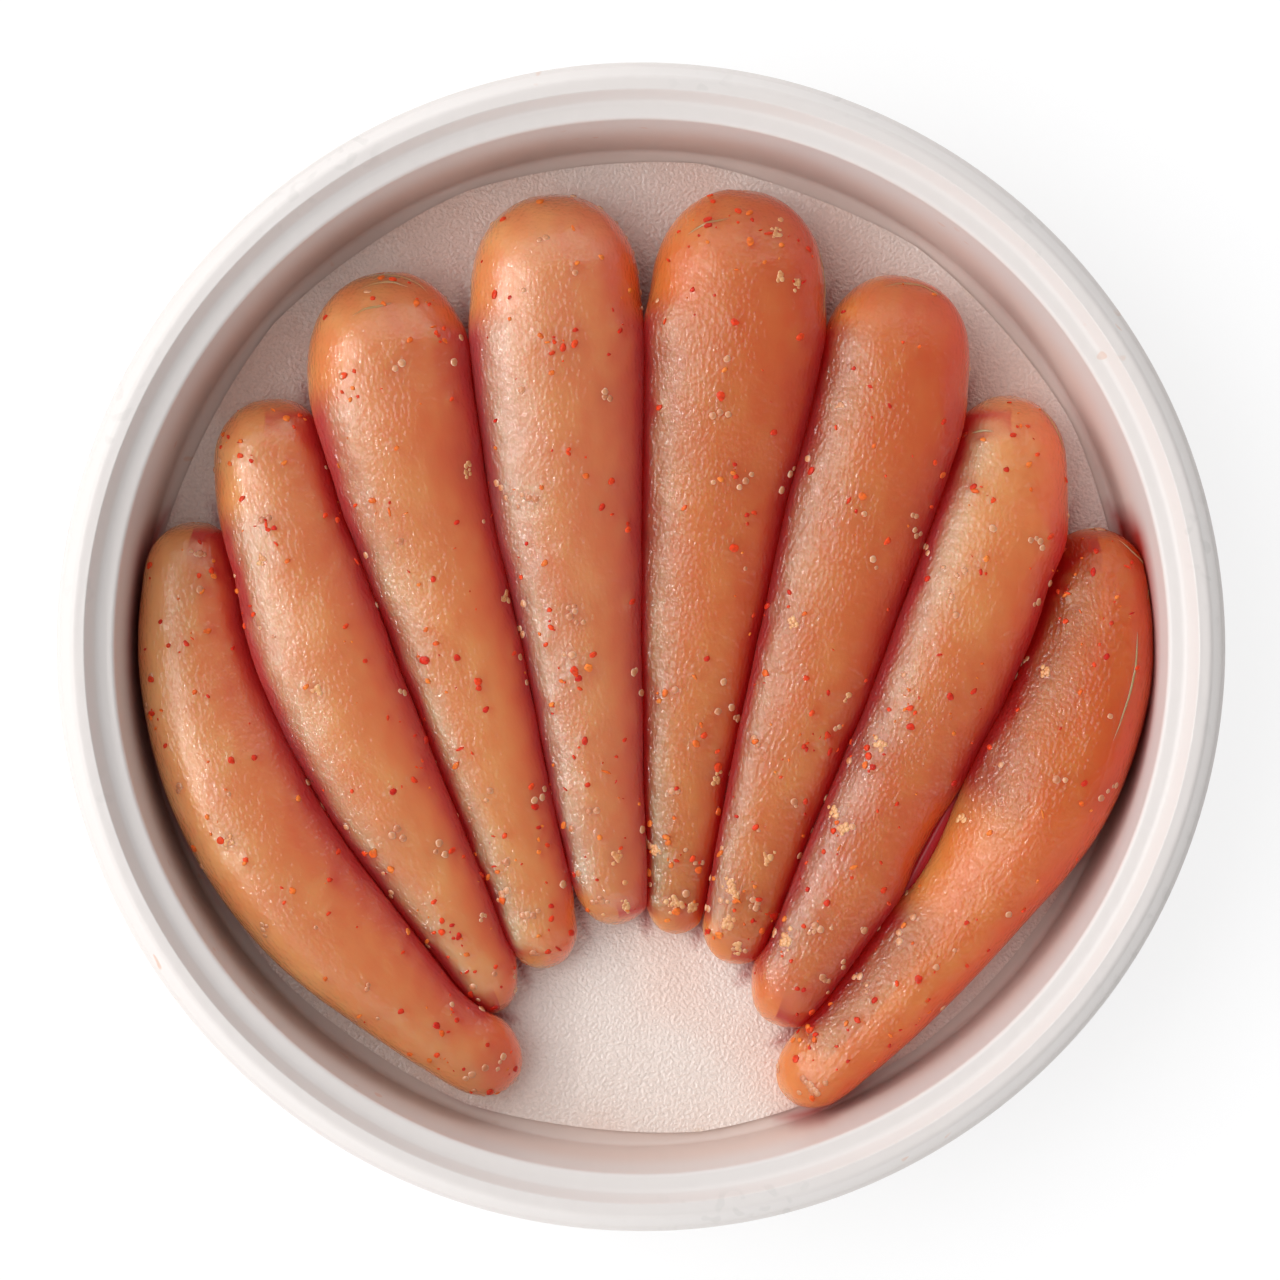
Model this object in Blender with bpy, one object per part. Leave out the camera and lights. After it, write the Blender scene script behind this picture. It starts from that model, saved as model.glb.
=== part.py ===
"""Mentaiko, whole seasoned roe sacs: eight of them side by side in a lined, shallow round tub."""

import math
import random
from collections import namedtuple

import bmesh
import bpy
from mathutils import Vector

GAP = 0.0003  # left between two pieces that touch

TUB_HEIGHT = 0.0365
TUB_RADIUS = 0.115
FLOOR_RADIUS = 0.1005
WALL_TOP_RADIUS = 0.1036
LEDGE_RADIUS = 0.1070
STEP_TOP_RADIUS = 0.1091
CROWN_RADIUS = 0.1118
CROWN_DOME = 0.0003  # how far the rim's crown rises in its middle
LEDGE_DROP = 0.0032  # from the crown of the rim down to the ledge inside it
FLANGE_DROP = 0.0068  # from the crown down to the bottom edge of the outer lip
LIP_WIDTH = 0.0009
LIP_THICKNESS = 0.0016
EDGE_CHAMFER = 0.0004
SHEET = 0.0020  # thickness of the tub's foamed plastic
RIM_SHEET = 0.0017  # the same plastic, drawn thinner round the rim
FOOT_RADIUS = 0.1011
FOOT_CHAMFER = 0.0012
TUB_SEGMENTS = 56
FLOOR_FILLET = 0.0012
LEDGE_FILLET = 0.0009
STEP_FILLET = 0.0005
CROWN_FILLET = 0.0011
FILLET_STEPS = 2

LINER_RADIUS = 0.0984
LINER_THICKNESS = 0.0005
LINER_SCALLOPS = 13
LINER_SCALLOP_DEPTH = 0.0011
LINER_POINTS = 65

LINER_BOTTOM = SHEET + GAP
REST = LINER_BOTTOM + LINER_THICKNESS + GAP  # the height at which the sacs lie

# A sac's spine runs from its blunt head to its tip, seen from above, with the width at each
# of its points. plump is thickness over width, and lean is how far the right side rides up.
Sac = namedtuple("Sac", "spine widths plump lean")
SACS = (
    Sac(
        ((-0.0891, 0.0250), (-0.0889, -0.0022), (-0.0803, -0.0284),
         (-0.0657, -0.0514), (-0.0461, -0.0700), (-0.0252, -0.0872)),
        (0.0170, 0.0224, 0.0268, 0.0260, 0.0210, 0.0140), 0.84, -0.001,
    ),
    Sac(
        ((-0.0749, 0.0496), (-0.0709, 0.0236), (-0.0629, -0.0018),
         (-0.0527, -0.0260), (-0.0399, -0.0494), (-0.0283, -0.0732)),
        (0.0216, 0.0256, 0.0272, 0.0244, 0.0188, 0.0124), 0.84, 0.0,
    ),
    Sac(
        ((-0.0509, 0.0750), (-0.0491, 0.0464), (-0.0417, 0.0184),
         (-0.0337, -0.0090), (-0.0255, -0.0366), (-0.0179, -0.0642)),
        (0.0280, 0.0332, 0.0278, 0.0236, 0.0180, 0.0136), 0.80, 0.0,
    ),
    Sac(
        ((-0.0175, 0.0906), (-0.0167, 0.0614), (-0.0152, 0.0320),
         (-0.0119, 0.0028), (-0.0087, -0.0264), (-0.0041, -0.0556)),
        (0.0300, 0.0344, 0.0308, 0.0244, 0.0188, 0.0136), 0.78, 0.0,
    ),
    Sac(
        ((0.0207, 0.0916), (0.0187, 0.0616), (0.0149, 0.0318),
         (0.0118, 0.0020), (0.0089, -0.0278), (0.0069, -0.0576)),
        (0.0298, 0.0356, 0.0298, 0.0236, 0.0164, 0.0104), 0.76, 0.0,
    ),
    Sac(
        ((0.0529, 0.0744), (0.0489, 0.0462), (0.0411, 0.0190),
         (0.0335, -0.0086), (0.0251, -0.0358), (0.0179, -0.0634)),
        (0.0264, 0.0310, 0.0280, 0.0242, 0.0180, 0.0132), 0.80, 0.0,
    ),
    Sac(
        ((0.0749, 0.0504), (0.0715, 0.0234), (0.0621, -0.0022),
         (0.0507, -0.0268), (0.0389, -0.0512), (0.0263, -0.0754)),
        (0.0192, 0.0268, 0.0266, 0.0232, 0.0200, 0.0140), 0.84, 0.0,
    ),
    Sac(
        ((0.0921, 0.0238), (0.0895, -0.0028), (0.0801, -0.0278),
         (0.0657, -0.0506), (0.0483, -0.0710), (0.0295, -0.0904)),
        (0.0172, 0.0258, 0.0286, 0.0224, 0.0190, 0.0136), 0.86, 0.0025,
    ),
)
SPINE_STEPS = 400  # short runs along which a spine's length is measured
HEAD_ROUNDING = 0.50  # length of the round head, as a share of the width there
TIP_ROUNDING = 0.55
STATIONS = 24  # cross-sections from head to tip
AROUND = 18  # points of a cross-section
TOP_FULLNESS = 2.25  # superellipse power of a cross-section's upper half
BOTTOM_FULLNESS = 2.8
END_SAG = 0.35  # how far a rounded end drops below half the thickness
TOUCH_REACH = 0.0014  # edges closer than this press against each other
SEAM_GAP = 0.00036  # left between two neighbouring sacs
SETTLING_ROUNDS = 3

FLAKES_PER_SAC = 15
FLAKE_SIZES = (0.0006, 0.0011)  # shortest and longest half length
FLAKE_THICKNESS = 0.0006
FLAKE_PROUD = 0.0003
FLAKE_SIDES = 5
FLAKE_FLATTEN = 0.7  # a flake's width over its length
FLAKE_SPREAD = 0.62  # how far round to the sides the flakes lie, as a share of a quarter turn
BARE_STATIONS = 3  # cross-sections at each end that carry no flakes
GOLDEN = 0.618
SEED = 11


def material(name, colour, roughness):
    made = bpy.data.materials.new(name)
    made.use_nodes = True
    shader = made.node_tree.nodes["Principled BSDF"]
    shader.inputs["Base Color"].default_value = (*colour, 1)
    shader.inputs["Roughness"].default_value = roughness
    shader.inputs["Metallic"].default_value = 0
    return made


def add_object(name, mesh, finish, shade_angle=math.radians(35)):
    made = bpy.data.objects.new(name, mesh)
    bpy.context.scene.collection.objects.link(made)
    mesh.materials.append(finish)
    mesh.shade_smooth()
    mesh.set_sharp_from_angle(angle=shade_angle)
    return made


def freeze(thing):
    """Turns what the modifiers show into the object's own mesh."""
    bpy.context.view_layer.update()
    graph = bpy.context.evaluated_depsgraph_get()
    solid = bpy.data.meshes.new_from_object(thing.evaluated_get(graph))
    thing.modifiers.clear()
    thing.data = solid


def along(points, t):
    """Catmull-Rom curve through evenly counted points, with t from 0 to 1."""
    last = len(points) - 1
    i = min(int(t * last), last - 1)
    u = t * last - i
    before = points[i - 1] if i else points[0] * 2 - points[1]
    after = points[i + 2] if i + 2 <= last else points[last] * 2 - points[last - 1]
    a, b = points[i], points[i + 1]
    bend = a * 2 - b * 2 + (b - before) * 0.5 + (after - a) * 0.5
    pull = (b - a) * 3 - (b - before) - (after - a) * 0.5
    return a + (b - before) * (0.5 * u) + pull * u**2 + bend * u**3


def rounded(corners):
    """A polyline through (radius, height, fillet) corners, each fillet cut in a few steps."""
    points = []
    for i, (r, z, fillet) in enumerate(corners):
        corner = Vector((r, z))
        if not fillet:
            points.append(corner)
            continue
        before = (Vector(corners[i - 1][:2]) - corner).normalized()
        after = (Vector(corners[i + 1][:2]) - corner).normalized()
        start, end = corner + before * fillet, corner + after * fillet
        for k in range(FILLET_STEPS + 1):
            u = k / FILLET_STEPS
            points.append(start * (1 - u) ** 2 + corner * (2 * u * (1 - u)) + end * u**2)
    return points


def tub_profile():
    """Half the tub's section, from the floor's middle over the rim to the base's middle."""
    ledge = TUB_HEIGHT - LEDGE_DROP
    lip = TUB_HEIGHT - FLANGE_DROP
    lip_top = lip + LIP_THICKNESS
    shoulder = TUB_HEIGHT - CROWN_DOME
    hollow = TUB_HEIGHT - SHEET  # highest point of the groove under the rim
    return rounded(
        (
            (0.0, SHEET, 0),
            (FLOOR_RADIUS, SHEET, FLOOR_FILLET),
            (WALL_TOP_RADIUS, ledge - EDGE_CHAMFER, LEDGE_FILLET),
            (LEDGE_RADIUS, ledge, LEDGE_FILLET),
            (STEP_TOP_RADIUS, shoulder, STEP_FILLET),
            ((STEP_TOP_RADIUS + CROWN_RADIUS) / 2, TUB_HEIGHT, 0),
            (CROWN_RADIUS, shoulder, CROWN_FILLET),
            (TUB_RADIUS - LIP_WIDTH, lip_top, 0),
            (TUB_RADIUS, lip_top - EDGE_CHAMFER, 0),
            (TUB_RADIUS, lip, 0),
            (TUB_RADIUS - RIM_SHEET, lip, 0),
            (CROWN_RADIUS - EDGE_CHAMFER, hollow, 0),
            (STEP_TOP_RADIUS + FOOT_CHAMFER, hollow, 0),
            (LEDGE_RADIUS + RIM_SHEET, ledge - RIM_SHEET, 0),
            (WALL_TOP_RADIUS + SHEET, ledge - SHEET, 0),
            (FLOOR_RADIUS + SHEET, FOOT_CHAMFER, 0),
            (FOOT_RADIUS, 0.0, 0),
            (0.0, 0.0, 0),
        )
    )


def wall_radius(height):
    """Radius of the wall's inner face at a height between the floor and the ledge."""
    share = (height - SHEET) / (TUB_HEIGHT - LEDGE_DROP - SHEET)
    return FLOOR_RADIUS + (WALL_TOP_RADIUS - FLOOR_RADIUS) * share


def inside_wall(spot, height):
    """Holds a point of a sac back where the tub's wall, with its flat facets, presses on it."""
    limit = wall_radius(height) * math.cos(math.pi / TUB_SEGMENTS) - GAP
    return spot * min(1, limit / spot.length)


def add_tub(finish):
    profile = tub_profile()
    edges = [(i, i + 1) for i in range(len(profile) - 1)]
    mesh = bpy.data.meshes.new("tub")
    mesh.from_pydata([(p.x, 0, p.y) for p in profile], edges, [])
    tub = add_object("tub", mesh, finish)
    turn = tub.modifiers.new("turn", "SCREW")
    turn.steps = turn.render_steps = TUB_SEGMENTS
    turn.use_merge_vertices = True
    turn.merge_threshold = 0.0001
    return tub


def add_liner(finish):
    """A thin sheet on the floor whose edge was trimmed in short, uneven arcs."""
    rng = random.Random(SEED)
    depths = [LINER_SCALLOP_DEPTH * rng.uniform(0.3, 1.0) for _ in range(LINER_SCALLOPS)]
    outline = []
    for i in range(LINER_POINTS):
        turn = i / LINER_POINTS
        scallop = turn * LINER_SCALLOPS
        dip = depths[int(scallop)] * math.sin(math.pi * (scallop % 1))
        radius = LINER_RADIUS - dip
        angle = math.tau * turn
        outline.append((radius * math.cos(angle), radius * math.sin(angle), LINER_BOTTOM))
    bm = bmesh.new()
    sheet = bm.faces.new([bm.verts.new(point) for point in outline])
    raised = bmesh.ops.extrude_face_region(bm, geom=[sheet])["geom"]
    lifted = [item for item in raised if isinstance(item, bmesh.types.BMVert)]
    bmesh.ops.translate(bm, verts=lifted, vec=(0, 0, LINER_THICKNESS))
    bmesh.ops.recalc_face_normals(bm, faces=bm.faces)
    mesh = bpy.data.meshes.new("liner_sheet")
    bm.to_mesh(mesh)
    bm.free()
    return add_object("liner_sheet", mesh, finish)


def end_rounding(run, reach):
    """1 along the body, falling to 0 in a round end; run is the distance from that end."""
    if run >= reach:
        return 1.0
    return math.sqrt(max(0.0, 1 - (1 - run / reach) ** 2))


class Plan:
    """A sac seen from above: its cross-sections' left and right ends, width and roundness."""

    def __init__(self, sac):
        spine = [Vector(point) for point in sac.spine]
        fine = [along(spine, i / SPINE_STEPS) for i in range(SPINE_STEPS + 1)]
        runs = [0.0]
        for a, b in zip(fine, fine[1:]):
            runs.append(runs[-1] + (b - a).length)
        length = runs[-1]
        self.sac = sac
        self.left, self.right, self.body, self.round = [], [], [], []
        for i in range(STATIONS + 1):
            t = 0.5 - 0.5 * math.cos(math.pi * i / STATIONS)
            run = t * length
            k = min(max(1, sum(r < run for r in runs)), len(fine) - 2)
            share = (run - runs[k - 1]) / (runs[k] - runs[k - 1])
            place = fine[k - 1].lerp(fine[k], share)
            ahead = (fine[k + 1] - fine[k - 1]).normalized()
            # This points to the left, seen from above with the heads at the back.
            aside = Vector((ahead.y, -ahead.x))
            body = along(sac.widths, t)
            head = end_rounding(run, HEAD_ROUNDING * body)
            tip = end_rounding(length - run, TIP_ROUNDING * body)
            half = 0.5 * body * head * tip
            self.left.append(place + aside * half)
            self.right.append(place - aside * half)
            self.body.append(body)
            self.round.append(head * tip)


def nearest_gap(point, outward, edge):
    """Signed distance from a point to an edge of the next sac, along the point's outward side."""
    best = None
    for a, b in zip(edge, edge[1:]):
        run = b - a
        if run.length_squared == 0:
            continue
        share = min(max((point - a).dot(run) / run.length_squared, 0), 1)
        apart = a + run * share - point
        if best is None or apart.length < best.length:
            best = apart
    return math.copysign(best.length, best.dot(outward))


def pressed(edge, partner, other):
    """How far each point of an edge moves outwards to meet the neighbour's edge half way."""
    moves = []
    for point, across in zip(edge, partner):
        outward = point - across
        if outward.length < GAP:
            moves.append(Vector((0, 0)))
            continue
        outward.normalize()
        gap = nearest_gap(point, outward, other)
        fade = min(max((TOUCH_REACH - gap) / (0.5 * TOUCH_REACH), 0), 1)
        moves.append(outward * ((gap - SEAM_GAP) * 0.5 * fade))
    return moves


def settle(plans):
    """Soft sacs lie flank to flank, so neighbouring edges share one seam."""
    for _ in range(SETTLING_ROUNDS):
        for a, b in zip(plans, plans[1:]):
            from_a = pressed(a.right, a.left, b.left)
            from_b = pressed(b.left, b.right, a.right)
            a.right = [p + move for p, move in zip(a.right, from_a)]
            b.left = [p + move for p, move in zip(b.left, from_b)]


def section_point(plan, i, angle):
    """Point of a sac's skin at a station and an angle, 0 at its right side and pi/2 on top."""
    left, right = plan.left[i], plan.right[i]
    middle, half = (left + right) * 0.5, (right - left) * 0.5
    thick = 0.5 * plan.body[i] * plan.sac.plump
    power = 2 / (TOP_FULLNESS if math.sin(angle) > 0 else BOTTOM_FULLNESS)
    across = math.copysign(abs(math.cos(angle)) ** power, math.cos(angle))
    up = math.copysign(abs(math.sin(angle)) ** power, math.sin(angle))
    centre = REST + thick * (1 - END_SAG * (1 - plan.round[i]))
    lift = plan.sac.lean * across * plan.round[i] * (0.5 + 0.5 * up)
    height = centre + thick * plan.round[i] * up + lift
    spot = inside_wall(middle + half * across, height)
    return Vector((spot.x, spot.y, height))


def sac_mesh(name, plan):
    points = [section_point(plan, 0, 0)]
    for i in range(1, STATIONS):
        points += [section_point(plan, i, math.tau * j / AROUND) for j in range(AROUND)]
    points.append(section_point(plan, STATIONS, 0))
    faces = []
    last = len(points) - 1
    for j in range(AROUND):
        k = (j + 1) % AROUND
        faces.append((0, 1 + k, 1 + j))
        for i in range(STATIONS - 2):
            ring, following = 1 + i * AROUND, 1 + (i + 1) * AROUND
            faces.append((ring + j, ring + k, following + k, following + j))
        end = 1 + (STATIONS - 2) * AROUND
        faces.append((end + j, end + k, last))
    bm = bmesh.new()
    verts = [bm.verts.new(point) for point in points]
    for face in faces:
        bm.faces.new([verts[v] for v in face])
    bmesh.ops.recalc_face_normals(bm, faces=bm.faces)
    mesh = bpy.data.meshes.new(name)
    bm.to_mesh(mesh)
    bm.free()
    return mesh


def flake_mesh(place, normal, rng):
    """A chip of chilli: an uneven flat prism, most of it sunk in the skin."""
    size = rng.uniform(*FLAKE_SIZES)
    turn = rng.uniform(0, math.tau)
    side = normal.orthogonal().normalized()
    across = normal.cross(side)
    bm = bmesh.new()
    corners = []
    for i in range(FLAKE_SIDES):
        angle = turn + math.tau * (i + rng.uniform(-0.25, 0.25)) / FLAKE_SIDES
        reach = size * rng.uniform(0.75, 1.1)
        spot = place + side * (reach * math.cos(angle))
        spot += across * (FLAKE_FLATTEN * reach * math.sin(angle))
        corners.append(bm.verts.new(spot + normal * (FLAKE_PROUD - FLAKE_THICKNESS)))
    base = bm.faces.new(corners)
    raised = bmesh.ops.extrude_face_region(bm, geom=[base])["geom"]
    lifted = [item for item in raised if isinstance(item, bmesh.types.BMVert)]
    bmesh.ops.translate(bm, verts=lifted, vec=normal * FLAKE_THICKNESS)
    bmesh.ops.recalc_face_normals(bm, faces=bm.faces)
    mesh = bpy.data.meshes.new("flake")
    bm.to_mesh(mesh)
    bm.free()
    return mesh


def scatter(plan, rng):
    """Places and outward directions of a sac's flakes, spread evenly down its top."""
    for i in range(FLAKES_PER_SAC):
        share = (i + rng.uniform(0.3, 0.7)) / FLAKES_PER_SAC
        station = BARE_STATIONS + round(share * (STATIONS - 1 - 2 * BARE_STATIONS))
        aside = FLAKE_SPREAD * (2 * ((i * GOLDEN) % 1) - 1)
        angle = math.pi / 2 - aside * math.pi / 2
        here = section_point(plan, station, angle)
        onward = section_point(plan, station + 1, angle) - here
        around = section_point(plan, station, angle + 0.1) - here
        normal = onward.cross(around).normalized()
        yield here, normal if normal.z > 0 else -normal


def add_sac(number, plan, finish):
    name = f"roe_sac_{number}"
    sac = add_object(name, sac_mesh(name, plan), finish)
    flakes = bpy.data.collections.new(name + "_flakes")
    bpy.context.scene.collection.children.link(flakes)
    rng = random.Random(SEED * 100 + number)
    for here, normal in scatter(plan, rng):
        mesh = flake_mesh(here, normal, rng)
        flakes.objects.link(bpy.data.objects.new(name + "_flake", mesh))
    join = sac.modifiers.new("flakes", "BOOLEAN")
    join.operation = "UNION"
    join.operand_type = "COLLECTION"
    join.collection = flakes
    freeze(sac)
    for flake in list(flakes.objects):
        bpy.data.objects.remove(flake)
    bpy.data.collections.remove(flakes)
    return sac


def main():
    for old in list(bpy.data.objects):
        bpy.data.objects.remove(old)
    add_tub(material("white_plastic", (0.80, 0.77, 0.74), 0.42))
    add_liner(material("grainy_film", (0.62, 0.56, 0.54), 0.35))
    plans = [Plan(sac) for sac in SACS]
    settle(plans)
    for number, plan in enumerate(plans, 1):
        add_sac(number, plan, material(f"roe_membrane_{number}", (0.74, 0.30, 0.15), 0.28))


main()
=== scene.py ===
# %% [markdown]
# # Mentaiko in its round tub
#
# The real thing is eight whole sacs of pollock roe, salted and steeped in chilli, laid side by
# side in a shallow tub of white foamed plastic with a thin grainy sheet under them. A packed
# model with plain solids is already there. This lesson gives each of those solids a fine surface
# of the same form and then its finish: wet membrane, chilli flakes, loose roe, satin plastic.
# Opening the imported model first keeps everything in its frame, in metres with +Z up.

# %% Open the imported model
import math
import random
from collections import namedtuple

import bpy
import numpy as np
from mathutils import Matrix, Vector, noise


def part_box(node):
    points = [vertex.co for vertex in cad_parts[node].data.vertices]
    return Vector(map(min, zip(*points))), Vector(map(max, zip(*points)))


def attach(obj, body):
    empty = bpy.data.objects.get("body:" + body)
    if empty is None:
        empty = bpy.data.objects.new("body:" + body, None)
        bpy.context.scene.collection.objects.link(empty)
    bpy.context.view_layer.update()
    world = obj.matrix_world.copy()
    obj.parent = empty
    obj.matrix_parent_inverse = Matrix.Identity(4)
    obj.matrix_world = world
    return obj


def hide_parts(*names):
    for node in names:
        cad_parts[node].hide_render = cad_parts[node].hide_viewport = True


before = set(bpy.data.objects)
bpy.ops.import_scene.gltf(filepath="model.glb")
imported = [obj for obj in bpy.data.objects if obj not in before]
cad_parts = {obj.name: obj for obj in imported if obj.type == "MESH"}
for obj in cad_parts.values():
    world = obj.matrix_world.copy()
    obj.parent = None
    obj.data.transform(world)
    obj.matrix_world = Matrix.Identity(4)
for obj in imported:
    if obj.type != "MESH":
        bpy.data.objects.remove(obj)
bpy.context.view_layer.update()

print("solids in the frame:", sorted(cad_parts))

# %% [markdown]
# ## Short ways to build
#
# Every piece of this lesson is a mesh worked out in numpy: a grid of points and the faces between
# them. Blender could do the same with modifiers, but a grid can follow the solids' own formulas
# exactly. `add_piece` turns points and faces into an object, lets it ride on the model, and hides
# the plain solid that it stands for. `store` keeps a number with each point, and `closed_faces`
# joins rings of points into a skin.

# %% A helper that makes a piece
def add_piece(name, points, faces, finish, replaced=None, sharp=None):
    mesh = bpy.data.meshes.new(name)
    mesh.from_pydata([tuple(p) for p in points], [], faces)
    mesh.materials.append(finish)
    mesh.shade_smooth()
    if sharp:
        mesh.set_sharp_from_angle(angle=math.radians(sharp))
    piece = bpy.data.objects.new(name, mesh)
    bpy.context.scene.collection.objects.link(piece)
    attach(piece, "root")
    if replaced:
        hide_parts(replaced)
    mesh.calc_loop_triangles()
    print(f"{name}: {len(mesh.vertices)} points, {len(mesh.loop_triangles)} triangles")
    return piece


def store(piece, name, values):
    """Keeps a number with each point of a piece, for its finish to read."""
    piece.data.attributes.new(name, "FLOAT", "POINT").data.foreach_set("value", values)


def closed_faces(rings, around):
    """Faces of a closed skin: a point, rings of points one after another, and a last point."""
    last = 1 + rings * around
    faces = []
    for j in range(around):
        k = (j + 1) % around
        faces.append((0, 1 + j, 1 + k))
        for i in range(rings - 1):
            ring, following = 1 + i * around, 1 + (i + 1) * around
            faces.append((ring + j, following + j, following + k, ring + k))
        faces.append((last - around + k, last - around + j, last))
    return faces


# %% [markdown]
# A finish is a small net of shader nodes. Wiring each node by hand takes many lines, so `node`
# adds one, fills its sockets with plain numbers or with other nodes' outputs, and returns it.
# `soft_step` and `mix` are the two joints used most: a smooth mask from a value, and a blend of
# two colours. `start_finish` makes a material, and `feed` links the net to its shader.

# %% Helpers for shader nodes
def node(tree, kind, sockets=(), **settings):
    made = tree.nodes.new("ShaderNode" + kind)
    for name, value in settings.items():
        setattr(made, name, value)
    named = sockets.items() if isinstance(sockets, dict) else enumerate(sockets)
    for place, value in named:
        if isinstance(value, bpy.types.NodeSocket):
            tree.links.new(value, made.inputs[place])
        else:
            made.inputs[place].default_value = value
    return made


def math_node(tree, operation, *values):
    return node(tree, "Math", values, operation=operation).outputs[0]


def times(tree, first, *others):
    """The product of two or more values."""
    for value in others:
        first = math_node(tree, "MULTIPLY", first, value)
    return first


def vector_node(tree, operation, *vectors):
    return node(tree, "VectorMath", vectors, operation=operation).outputs[0]


def scaled(tree, vector, factor):
    return node(tree, "VectorMath", {0: vector, "Scale": factor}, operation="SCALE").outputs[0]


def soft_step(tree, value, low, high, start=0.0, end=1.0):
    """Smooth change from start to end while value goes from low to high."""
    sockets = {"Value": value, "From Min": low, "From Max": high, "To Min": start, "To Max": end}
    return node(tree, "MapRange", sockets, interpolation_type="SMOOTHSTEP").outputs["Result"]


def mix(tree, factor, first, second, blend="MIX"):
    made = node(tree, "Mix", {0: factor, 6: first, 7: second}, data_type="RGBA", blend_type=blend)
    return made.outputs[2]


def tinted(tree, colour, tint, factor=1.0):
    return mix(tree, factor, colour, tint, "MULTIPLY")


def grain(tree, place, scale, detail):
    """Cloudy noise between 0 and 1, with scale in lumps a metre."""
    return node(tree, "TexNoise", {"Vector": place, "Scale": scale, "Detail": detail}).outputs["Fac"]


def stored(tree, name):
    """A number that is kept with each point of the piece."""
    return node(tree, "Attribute", attribute_name=name).outputs["Fac"]


# %% Helpers for finishes
def start_finish(name, **sockets):
    """A material, its node tree and its Principled shader with these plain values set."""
    made = bpy.data.materials.new(name)
    made.use_nodes = True
    shader = made.node_tree.nodes["Principled BSDF"]
    for socket, value in sockets.items():
        shader.inputs[socket.replace("_", " ")].default_value = value
    return made, made.node_tree, shader


def feed(tree, shader, **outputs):
    """Links the outputs of other nodes to the shader."""
    for socket, output in outputs.items():
        tree.links.new(output, shader.inputs[socket.replace("_", " ")])


# %% [markdown]
# ## The tub
#
# The tub is drawn from a sheet of white foamed plastic. Its rim rolls over into a lip, and inside
# the rim a small step and a ledge hold a lid. Anything round like this can be turned: draw half
# of the section once and sweep it round the axis. The solid has 56 flat facets round, so the same
# section is turned here in 256, with its corners rounded in more steps, and with the thin raised
# line that the mould leaves on the rim's inner edge.

# %% The tub's measures
GAP = 0.0003  # left between two pieces that touch
_, tub_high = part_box("tub")
TUB_HEIGHT = tub_high.z
TUB_RADIUS = tub_high.x
FLOOR_RADIUS = 0.1005
WALL_TOP_RADIUS = 0.1036
LEDGE_RADIUS = 0.1070
STEP_TOP_RADIUS = 0.1091
CROWN_RADIUS = 0.1118
CROWN_DOME = 0.00006
LEDGE_DROP = 0.0032
FLANGE_DROP = 0.0068
LIP_WIDTH = 0.0009
LIP_THICKNESS = 0.0016
EDGE_CHAMFER = 0.0004
SHEET = 0.0020
RIM_SHEET = 0.0017
FOOT_RADIUS = 0.1011
FOOT_CHAMFER = 0.0012
FLOOR_FILLET = 0.0012
LEDGE_FILLET = 0.0009
STEP_FILLET = 0.0005
CROWN_FILLET = 0.0009
LIP_FILLET = 0.0003
TUB_FACETS = 56  # of the solid
WALL_SLOPE = (WALL_TOP_RADIUS - FLOOR_RADIUS) / (TUB_HEIGHT - LEDGE_DROP - SHEET)
print(f"the tub is {TUB_RADIUS * 2000:.0f} mm across and {TUB_HEIGHT * 1000:.1f} mm high")

# %% Draw its section
FILLET_STEPS = 7
LONGEST_STRETCH = 0.0012  # between two points of the fine section


def rounded(corners):
    """A polyline through (radius, height, fillet) corners, each fillet cut in many steps."""
    points = []
    for i, (r, z, fillet) in enumerate(corners):
        corner = Vector((r, z))
        if not fillet:
            points.append(corner)
            continue
        before = (Vector(corners[i - 1][:2]) - corner).normalized()
        after = (Vector(corners[i + 1][:2]) - corner).normalized()
        start, end = corner + before * fillet, corner + after * fillet
        for k in range(FILLET_STEPS + 1):
            u = k / FILLET_STEPS
            points.append(start * (1 - u) ** 2 + corner * (2 * u * (1 - u)) + end * u**2)
    return points


def tub_profile():
    """Half the tub's section, from the floor's middle over the rim to the base's middle."""
    ledge = TUB_HEIGHT - LEDGE_DROP
    lip = TUB_HEIGHT - FLANGE_DROP
    lip_top = lip + LIP_THICKNESS
    shoulder = TUB_HEIGHT - CROWN_DOME
    hollow = TUB_HEIGHT - SHEET
    return rounded(
        (
            (0.0, SHEET, 0),
            (FLOOR_RADIUS, SHEET, FLOOR_FILLET),
            (WALL_TOP_RADIUS, ledge - EDGE_CHAMFER, LEDGE_FILLET),
            (LEDGE_RADIUS, ledge, LEDGE_FILLET),
            (STEP_TOP_RADIUS, shoulder, STEP_FILLET),
            ((STEP_TOP_RADIUS + CROWN_RADIUS) / 2, TUB_HEIGHT, 0),
            (CROWN_RADIUS, shoulder, CROWN_FILLET),
            (TUB_RADIUS - LIP_WIDTH, lip_top, LIP_FILLET),
            (TUB_RADIUS, lip_top - EDGE_CHAMFER, LIP_FILLET),
            (TUB_RADIUS, lip, LIP_FILLET),
            (TUB_RADIUS - RIM_SHEET, lip, LIP_FILLET),
            (CROWN_RADIUS - EDGE_CHAMFER, hollow, 0),
            (STEP_TOP_RADIUS + FOOT_CHAMFER, hollow, 0),
            (LEDGE_RADIUS + RIM_SHEET, ledge - RIM_SHEET, 0),
            (WALL_TOP_RADIUS + SHEET, ledge - SHEET, 0),
            (FLOOR_RADIUS + SHEET, FOOT_CHAMFER, 0),
            (FOOT_RADIUS, 0.0, 0),
            (0.0, 0.0, 0),
        )
    )


def denser(points):
    """The same polyline with extra points wherever two lie far apart."""
    filled = [points[0]]
    for a, b in zip(points, points[1:]):
        pieces = max(1, math.ceil((b - a).length / LONGEST_STRETCH))
        filled += [a.lerp(b, k / pieces) for k in range(1, pieces + 1)]
    return filled


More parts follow.
